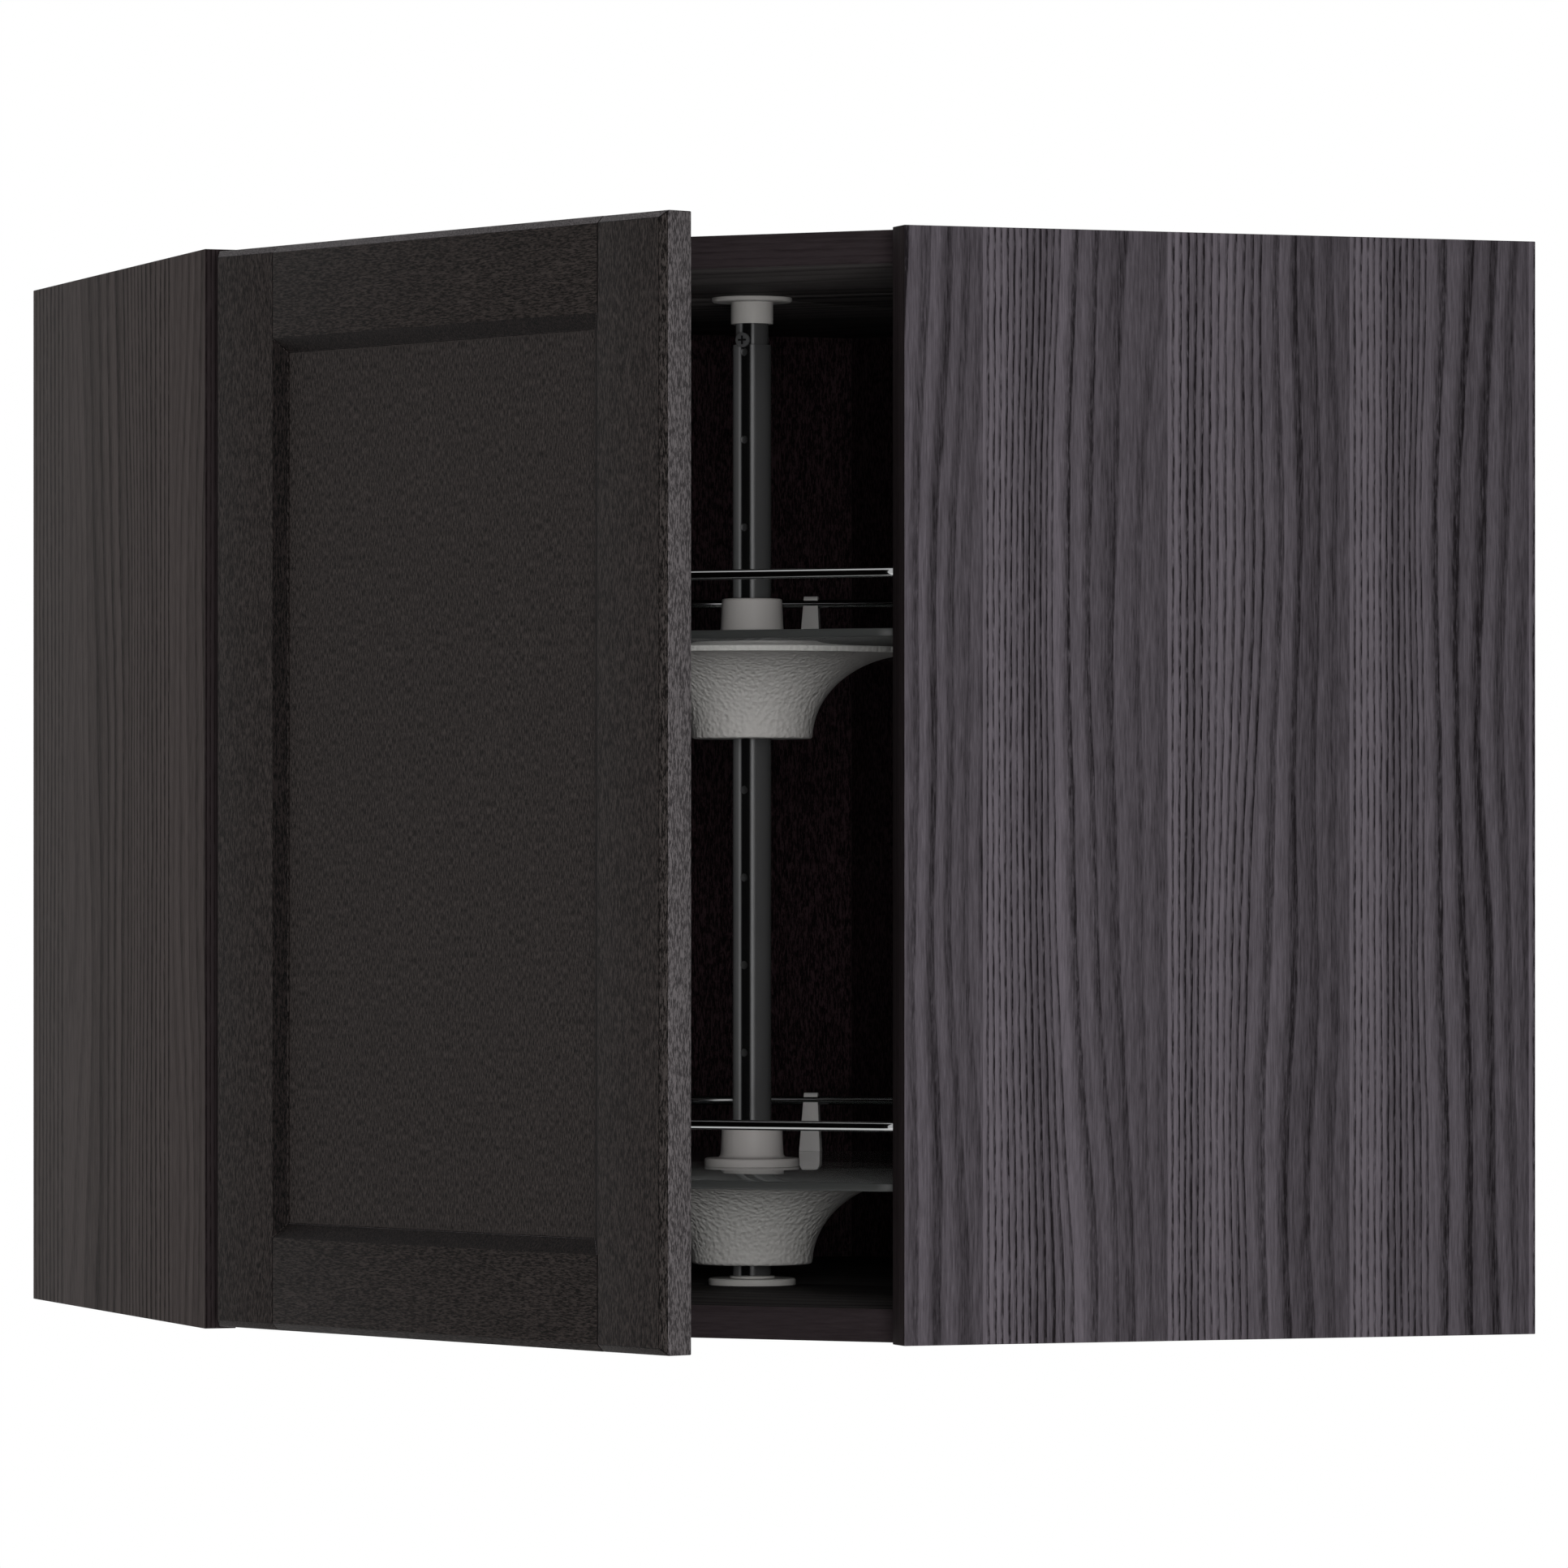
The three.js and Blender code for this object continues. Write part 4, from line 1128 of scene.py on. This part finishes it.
@dataclass
class Post:
    """The telescopic tubes, their flanges and their screws, in millimetres."""

    outer: Tube = Tube("post_outer_tube", radius=11.1, wall=1.25, foot=23.3, top=555.2)
    inner: Tube = Tube("post_inner_tube", radius=9.55, wall=1.3, foot=311.1, top=578.3)
    first_hole: float = 50.7
    pitch: float = 50.0
    holes: int = 11
    hole_radius: float = 2.4
    lock_height: float = 557.5
    lock_face: float = 13.3
    recess: float = 5.0
    recess_depth: float = 1.2
    slot: float = 1.1
    tube_chamfer: float = 0.3
    flange_round: float = 0.3
    screw_round: float = 0.15
    body: str = "cabinet"

    def build(self) -> None:
        """Makes all the pieces."""
        # The tubes' steel has painted reflections down its front: a dark streak, two light lines
        # and a lighter left side.
        steel = PaintedReflectionTube(
            "post steel with painted reflections",
            (0.003, 0.003, 0.003),
            (0.36, 0.36, 0.365),
            self.outer.radius * MM,
            FRONT_TURN,
        ).build()
        for tube in (self.outer, self.inner):
            self._tube(tube, steel)
        pale = MouldedPlastic("flange plastic", (0.40, 0.385, 0.37), 0.42, 2 * MM, 0.00003).build()
        for node in ("post_foot_flange", "post_head_flange"):
            dress(node, [pale], self.body, "post_plastic", self.flange_round * MM)
        zinc = DrawnMetal("screw zinc", (0.5, 0.51, 0.52), 0.3, TUMBLED, bare=0.6).build()
        screws = [f"{end}_screw_{i}" for end in ("head", "foot") for i in (1, 2, 3)]
        for node in [*screws, "lower_support_pin", "upper_support_pin"]:
            dress(node, [zinc], self.body, "zinc_steel", self.screw_round * MM)
        self._lock_screw()

    def _lock_screw(self) -> None:
        """The screw that holds the tubes together, with a cross recess in its head."""
        node = "post_lock_screw"
        dull = DrawnMetal("lock screw zinc", (0.17, 0.172, 0.175), 0.35, TUMBLED, bare=0.6).build()
        mesh = merged_copy(node)
        soften(mesh, self.screw_round * MM, angle=40.0, segments=2)
        face = Matrix.Translation((0.0, -self.lock_face * MM, self.lock_height * MM))
        for width, height in ((self.recess, self.slot), (self.slot, self.recess)):
            bar = bmesh.new()
            size = Matrix.Diagonal((width * MM, 2 * self.recess_depth * MM, height * MM, 1.0))
            bmesh.ops.create_cube(bar, size=1.0, matrix=front_turn() @ face @ size)
            mesh = self._bored(mesh, bar)
        unplaced = (front_turn() @ face).inverted()
        slack = 0.05
        reach = self.recess / 2 + 0.2

        def choose(part: Face) -> int:
            """Sorts a face of the screw.

            Args:
                part: The face.

            Returns:
                0 for the head, or 1 for the walls and floor of its recess, which are painted
                near-black as painted shade.
            """
            centre = (unplaced @ part.calc_center_median()) / MM
            sunk = slack < centre.y < self.recess_depth + slack
            return 1 if sunk and math.hypot(centre.x, centre.z) < reach else 0

        sort_faces(mesh, choose)
        # The recess's walls and floor take a near-black finish: painted shade in the recess.
        painted_shade = MouldedPlastic("recess grime", (0.006, 0.006, 0.006), 0.7).build()
        place_piece(f"{node}_dressed", mesh, [dull, painted_shade], self.body, "zinc_steel", [node])

    def _tube(self, tube: Tube, steel: Material) -> None:
        """Makes one tube with its row of holes.

        Args:
            tube: Its sizes.
            steel: Its finish.
        """
        chamfer = self.tube_chamfer
        inside = tube.radius - tube.wall
        end = tube.radius - chamfer
        mesh = turned(
            [
                (inside, tube.foot),
                (end, tube.foot),
                (tube.radius, tube.foot + chamfer),
                (tube.radius, tube.top - chamfer),
                (end, tube.top),
                (inside, tube.top),
            ]
        )
        drills = bmesh.new()
        for i in range(self.holes):
            z = self.first_hole + i * self.pitch
            if tube.foot < z < tube.top:
                across = Matrix.Translation((0, 0, z * MM)) @ Matrix.Rotation(math.pi / 2, 4, "X")
                bmesh.ops.create_cone(
                    drills,
                    cap_ends=True,
                    segments=24,
                    radius1=self.hole_radius * MM,
                    radius2=self.hole_radius * MM,
                    depth=3 * tube.radius * MM,
                    matrix=across,
                )
        cut = self._bored(mesh, drills)
        bmesh.ops.transform(cut, matrix=front_turn(), verts=cut.verts)
        place_piece(f"{tube.node}_dressed", cut, [steel], self.body, "post_steel", [tube.node])

    def _bored(self, mesh: Mesh, drills: Mesh) -> Mesh:
        """Takes some shapes out of a mesh.

        Args:
            mesh: What is cut, used up by the call.
            drills: What is taken out of it, used up as well.

        Returns:
            The cut mesh.
        """
        blank, tools = mesh_object("blank", mesh), mesh_object("drills", drills)
        modifier = blank.modifiers.new("bores", "BOOLEAN")
        modifier.operation = "DIFFERENCE"
        modifier.object = tools
        modifier.solver = "EXACT"
        bpy.context.view_layer.update()
        depsgraph = bpy.context.evaluated_depsgraph_get()
        cut = bmesh.new()
        cut.from_mesh(blank.evaluated_get(depsgraph).to_mesh())
        for used in (blank, tools):
            data = used.data
            bpy.data.objects.remove(used)
            bpy.data.meshes.remove(data)
        return cut


@dataclass
class Shelf:
    """One glass shelf with its rail, clips, collar and bell, in millimetres.

    top is the height of the glass's upper face, from which the rail, the collar and the bell are
    measured. chord is how far its straight front lies from the post's axis, and corner the
    rounding of its two corners.
    """

    level: str
    top: float
    radius: float = 292.0
    chord: float = 223.97
    corner: float = 20.0
    round_steps: int = 160
    corner_steps: int = 14
    glass: float = 4.5
    glass_round: float = 0.7
    bore: float = 17.4
    rail_inset: float = 2.0
    rail_front_inset: float = 5.5
    rail_radius: float = 2.75
    rail_height: float = 30.4
    clip_round: float = 0.5
    post_bore: float = 11.4
    collar_gap: float = 0.3
    collar_sleeve: float = 17.0
    collar_hollow: float = 14.1
    collar_seat: float = 17.6
    collar_flange: float = 27.2
    collar_step: float = 5.0
    collar_foot: float = 18.1
    collar_crown: float = 17.2
    collar_height: float = 24.6
    bell_height: float = 51.0
    bell_foot: float = 34.6
    bell_skirt: float = 5.0
    bell_rim: float = 94.0
    bell_lip: float = 2.8
    bell_wall: float = 2.5
    bell_gap: float = 0.4
    bell_sleeve: float = 15.6

    @property
    def body(self) -> str:
        """The CAD body that the shelf turns with."""
        return f"{self.level}_shelf"

    def build(self) -> None:
        """Makes all the pieces."""
        self._glass()
        self._rail()
        self._clips()
        self._collar()
        self._bell()

    def _swept(self, mesh: Mesh, section: Section, inset: float, front: float) -> None:
        """Carries a section once round the shelf's outline, from the middle of its front.

        Args:
            mesh: Where it is made.
            section: The section's vertices and edges, at the middle of the straight front.
            inset: How far inside the glass's round edge the section runs, in millimetres.
            front: How far inside its straight edge.
        """
        radius = (self.radius - inset) * MM
        depth = (self.chord - front - self.corner) * MM
        corner = self.corner * MM
        side = math.sqrt((radius - corner) ** 2 - depth**2)
        meet = math.atan2(depth, side)
        bend = math.pi / 2 - meet
        half_front = None
        stretches = (
            half_front,
            ((side, -depth, 0.0), bend, self.corner_steps),
            ((0.0, 0.0, 0.0), math.pi + 2 * meet, self.round_steps),
            ((-side, -depth, 0.0), bend, self.corner_steps),
            half_front,
        )
        geometry = section
        for arc in stretches:
            if arc is half_front:
                made = bmesh.ops.extrude_edge_only(
                    mesh, edges=[g for g in geometry if isinstance(g, bmesh.types.BMEdge)]
                )["geom"]
                geometry = [g for g in made if not isinstance(g, Face)]
                verts = [g for g in geometry if isinstance(g, bmesh.types.BMVert)]
                bmesh.ops.translate(mesh, vec=(side, 0.0, 0.0), verts=verts)
                continue
            centre, angle, steps = arc
            geometry = bmesh.ops.spin(
                mesh, geom=geometry, cent=centre, axis=(0.0, 0.0, 1.0), angle=angle, steps=steps
            )["geom_last"]
        bmesh.ops.remove_doubles(mesh, verts=mesh.verts, dist=WELD)

    def _glass(self) -> None:
        """The glass plate with its ground edge."""
        mesh = bmesh.new()
        low, high = (self.top - self.glass) * MM, self.top * MM
        ends = [mesh.verts.new((0.0, -self.chord * MM, z)) for z in (low, high)]
        self._swept(mesh, [*ends, mesh.edges.new(ends)], inset=0.0, front=0.0)
        for z in (low, high):
            bmesh.ops.create_circle(
                mesh, segments=64, radius=self.bore * MM, matrix=Matrix.Translation((0, 0, z))
            )
            chosen = {v for v in mesh.verts if abs(v.co.z - z) < WELD}
            edges = [e for e in mesh.edges if set(e.verts) <= chosen]
            bmesh.ops.triangle_fill(mesh, use_beauty=True, edges=edges)
        bore = [e for e in mesh.edges if e.is_boundary]
        bmesh.ops.bridge_loops(mesh, edges=bore)
        bmesh.ops.recalc_face_normals(mesh, faces=mesh.faces)
        sharp = [e for e in mesh.edges if e.calc_face_angle(0.0) > 1.0]
        bmesh.ops.bevel(
            mesh,
            geom=[e for e in sharp if e.verts[0].co.xy.length > 2 * self.bore * MM],
            offset=self.glass_round * MM,
            affect="EDGES",
            segments=2,
            profile=0.5,
            material=-1,
        )
        sort_faces(mesh, lambda f: 0 if abs(f.normal.z) > 0.95 else 1)
        bmesh.ops.transform(mesh, matrix=front_turn(), verts=mesh.verts)
        clear = ShelfGlass("clear glass", (0.88, 0.895, 0.885), 0.04, 0.9).build()
        ground = ShelfGlass("ground glass edge", (0.04, 0.042, 0.041), 0.4, 0.35).build()
        node = f"{self.level}_shelf_glass"
        place_piece(f"{node}_plate", mesh, [clear, ground], self.body, "shelf_glass", [node])

    def _rail(self) -> None:
        """The chrome rod round the shelf."""
        mesh = bmesh.new()
        z = (self.top + self.rail_height) * MM
        start = Matrix.Translation((0.0, -(self.chord - self.rail_front_inset) * MM, z))
        ring = bmesh.ops.create_circle(
            mesh,
            segments=20,
            radius=self.rail_radius * MM,
            matrix=start @ Matrix.Rotation(math.pi / 2, 4, "Y"),
        )["verts"]
        self._swept(mesh, [*ring, *mesh.edges], self.rail_inset, self.rail_front_inset)
        bmesh.ops.recalc_face_normals(mesh, faces=mesh.faces)
        bmesh.ops.transform(mesh, matrix=front_turn(), verts=mesh.verts)
        chrome = DrawnMetal("rail chrome", (0.36, 0.364, 0.368), 0.06, (60.0, 60.0, 60.0)).build()
        node = f"{self.level}_shelf_rail"
        place_piece(f"{node}_rod", mesh, [chrome], self.body, "chrome", [node])

    def _clips(self) -> None:
        """The clips that hold the rail up."""
        grey = MouldedPlastic("clip plastic", (0.63, 0.605, 0.595), 0.4, 1.2 * MM, 0.00004).build()
        for side in ("left", "right"):
            for where in ("rear", "middle", "front"):
                node = f"{self.level}_rail_clip_{side}_{where}"
                width = self.clip_round * MM
                dress(node, [grey], self.body, "clip_plastic", width, segments=3)

    def _collar(self) -> None:
        """The collar that stands on the glass round the post, with a sleeve in the bore."""
        top = self.top
        low = top - self.glass + self.collar_gap
        step, seat, crown = (
            top + height for height in (self.collar_step, self.collar_seat, self.collar_height)
        )
        profile = rounded(
            [
                (self.collar_sleeve, low),
                (self.collar_sleeve, top),
                (self.collar_flange, top),
                (self.collar_flange, step),
                (self.collar_foot, step),
                (self.collar_crown, crown),
                (self.post_bore, crown),
                (self.post_bore, seat),
                (self.collar_hollow, seat),
                (self.collar_hollow, low),
            ],
            {2: 0.6, 3: 1.6, 4: 3.2, 5: 1.6},
        )
        mesh = turned(profile, 72)
        grey = MouldedPlastic("hub plastic", (0.35, 0.328, 0.32), 0.42, 1.4 * MM, 0.00005).build()
        node = f"{self.level}_shelf_hub"
        place_piece(f"{node}_collar", mesh, [grey], self.body, "clip_plastic", [node])

    def _bell(self) -> None:
        """The flared shell under the glass, with a straight lip at its rim."""
        top = self.top - self.glass
        bottom = top - self.bell_height
        flare = self.bell_rim - self.bell_foot
        rise = self.bell_height - self.bell_lip
        steps = 28

        def curve(inwards: float) -> list[tuple[float, float]]:
            """Draws the flare.

            Args:
                inwards: How far it is moved in, and up, from the bell's outside.

            Returns:
                Radius and height pairs, from the foot up.
            """
            made = []
            for i in range(1, steps + 1):
                angle = math.pi / 2 * i / steps
                radius = self.bell_foot - inwards + flare * (1 - math.cos(angle))
                made.append((radius, bottom + inwards + rise * math.sin(angle)))
            return made

        floor = bottom + self.bell_wall
        skirt = bottom + self.bell_skirt
        outside = rounded(
            [(self.post_bore, bottom), (self.bell_foot, bottom), (self.bell_foot, skirt)],
            {1: 2.0},
        )[:-1]
        inside = [p for p in curve(self.bell_wall) if p[1] < top - self.bell_gap]
        profile = [
            *outside,
            *curve(0.0),
            (self.bell_rim, top),
            (self.bell_rim - self.bell_wall, top),
            *reversed(inside),
            (self.bell_foot - self.bell_wall, floor),
            (self.bell_sleeve, floor),
            (self.bell_sleeve, top),
            (self.post_bore, top),
        ]
        mesh = turned(profile, 120)
        grey = MouldedPlastic("bell plastic", (0.395, 0.38, 0.368), 0.45, 2.6 * MM, 0.0011).build()
        node = f"{self.level}_shelf_bell"
        place_piece(f"{node}_shell", mesh, [grey], self.body, "bell_plastic", [node], 60.0)


# ---------- Studio ----------


@dataclass(frozen=True)
class SoftLamp:
    """A large soft lamp aimed at the cabinet, by its place and side in metres and its watts."""

    name: str
    place: tuple[float, float, float]
    side: float
    power: float
    target: tuple[float, float, float] = (0.0, 0.0, 0.3)

    def build(self) -> None:
        """Hangs the lamp."""
        data = bpy.data.lights.new(self.name, "AREA")
        data.size = self.side
        data.energy = self.power
        lamp = scene_object(self.name, data)
        lamp.location = self.place
        aim = Vector(self.target) - Vector(self.place)
        lamp.rotation_euler = aim.to_track_quat("-Z", "Y").to_euler()
        lamp.visible_camera = False
        lamp.visible_glossy = False


@dataclass
class Studio:
    """The camera, the lamps, the world and the floor.

    lens and sensor are in millimetres, heading in degrees and the places in metres. fill is the
    world's light on the cabinet, as a share of the white that the camera sees.
    """

    eye: tuple[float, float, float] = (-1.6844, -4.7492, 0.2511)
    heading: float = -19.736
    lens: float = 202.3
    sensor: float = 36.0
    shift: float = 0.0592
    farthest: float = 100.0
    lamps: tuple[SoftLamp, ...] = (
        SoftLamp("key", (-0.8, -3.9, 0.6), 1.6, 68.0),
        SoftLamp("low", (-1.2, -3.9, -0.1), 1.6, 48.0),
        SoftLamp("side", (-3.4, -0.6, 0.9), 2.0, 20.0),
    )
    floor_height: float = -1.4
    floor_reach: float = 4.0
    floor_glow: float = 0.68
    fill: float = 0.35

    def build(self) -> None:
        """Sets all of it up."""
        bpy.context.scene.view_settings.view_transform = "Standard"
        self._camera()
        self._world()
        for lamp in self.lamps:
            lamp.build()
        self._floor()

    def _camera(self) -> None:
        """A level camera with a raised frame."""
        data = bpy.data.cameras.new("camera")
        data.lens = self.lens
        data.sensor_width = self.sensor
        data.shift_y = self.shift
        data.clip_end = self.farthest
        camera = scene_object("camera", data)
        camera.location = self.eye
        camera.rotation_euler = (math.pi / 2, 0.0, math.radians(self.heading))
        bpy.context.scene.camera = camera

    def _world(self) -> None:
        """White to the camera, to gloss and through glass; a soft fill for the rest."""
        r = Recipe(bpy.data.worlds.new("studio"))
        seen = r.rays(*SEEN_RAYS)
        strength = seen * (1.0 - self.fill) + self.fill
        sky = r.node(
            "ShaderNodeBackground", sockets={"Color": (1.0, 1.0, 1.0, 1.0), "Strength": strength}
        )
        bpy.context.scene.world = r.close(sky.outputs[0])

    def _floor(self) -> None:
        """A pale floor that shows white where it is lit, and keeps the cabinet's shadow."""
        mesh = bmesh.new()
        bmesh.ops.create_grid(mesh, x_segments=2, y_segments=2, size=self.floor_reach)
        bmesh.ops.translate(mesh, vec=(0.0, 0.0, self.floor_height), verts=mesh.verts)
        floor = mesh_object("floor", mesh)
        r = Recipe.of_material("pale floor")
        seen = r.rays(*SEEN_RAYS)
        glow = r.tint(seen, (0.0, 0.0, 0.0), (self.floor_glow,) * 3)
        lit = {"Emission Color": glow, "Emission Strength": 1.0}
        floor.data.materials.append(r.close(r.principled((0.8, 0.8, 0.8), 0.9, constants=lit)))


def main() -> None:
    """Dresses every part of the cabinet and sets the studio."""
    logging.basicConfig(level=logging.INFO, format="%(message)s")
    for part in (
        Carcass(),
        Door(),
        Hinges(),
        Post(),
        Shelf("lower", 85.5),
        Shelf("upper", 385.5),
        Studio(),
    ):
        part.build()
        LOG.info("%s done", type(part).__name__)


if __name__ == "__main__":
    main()
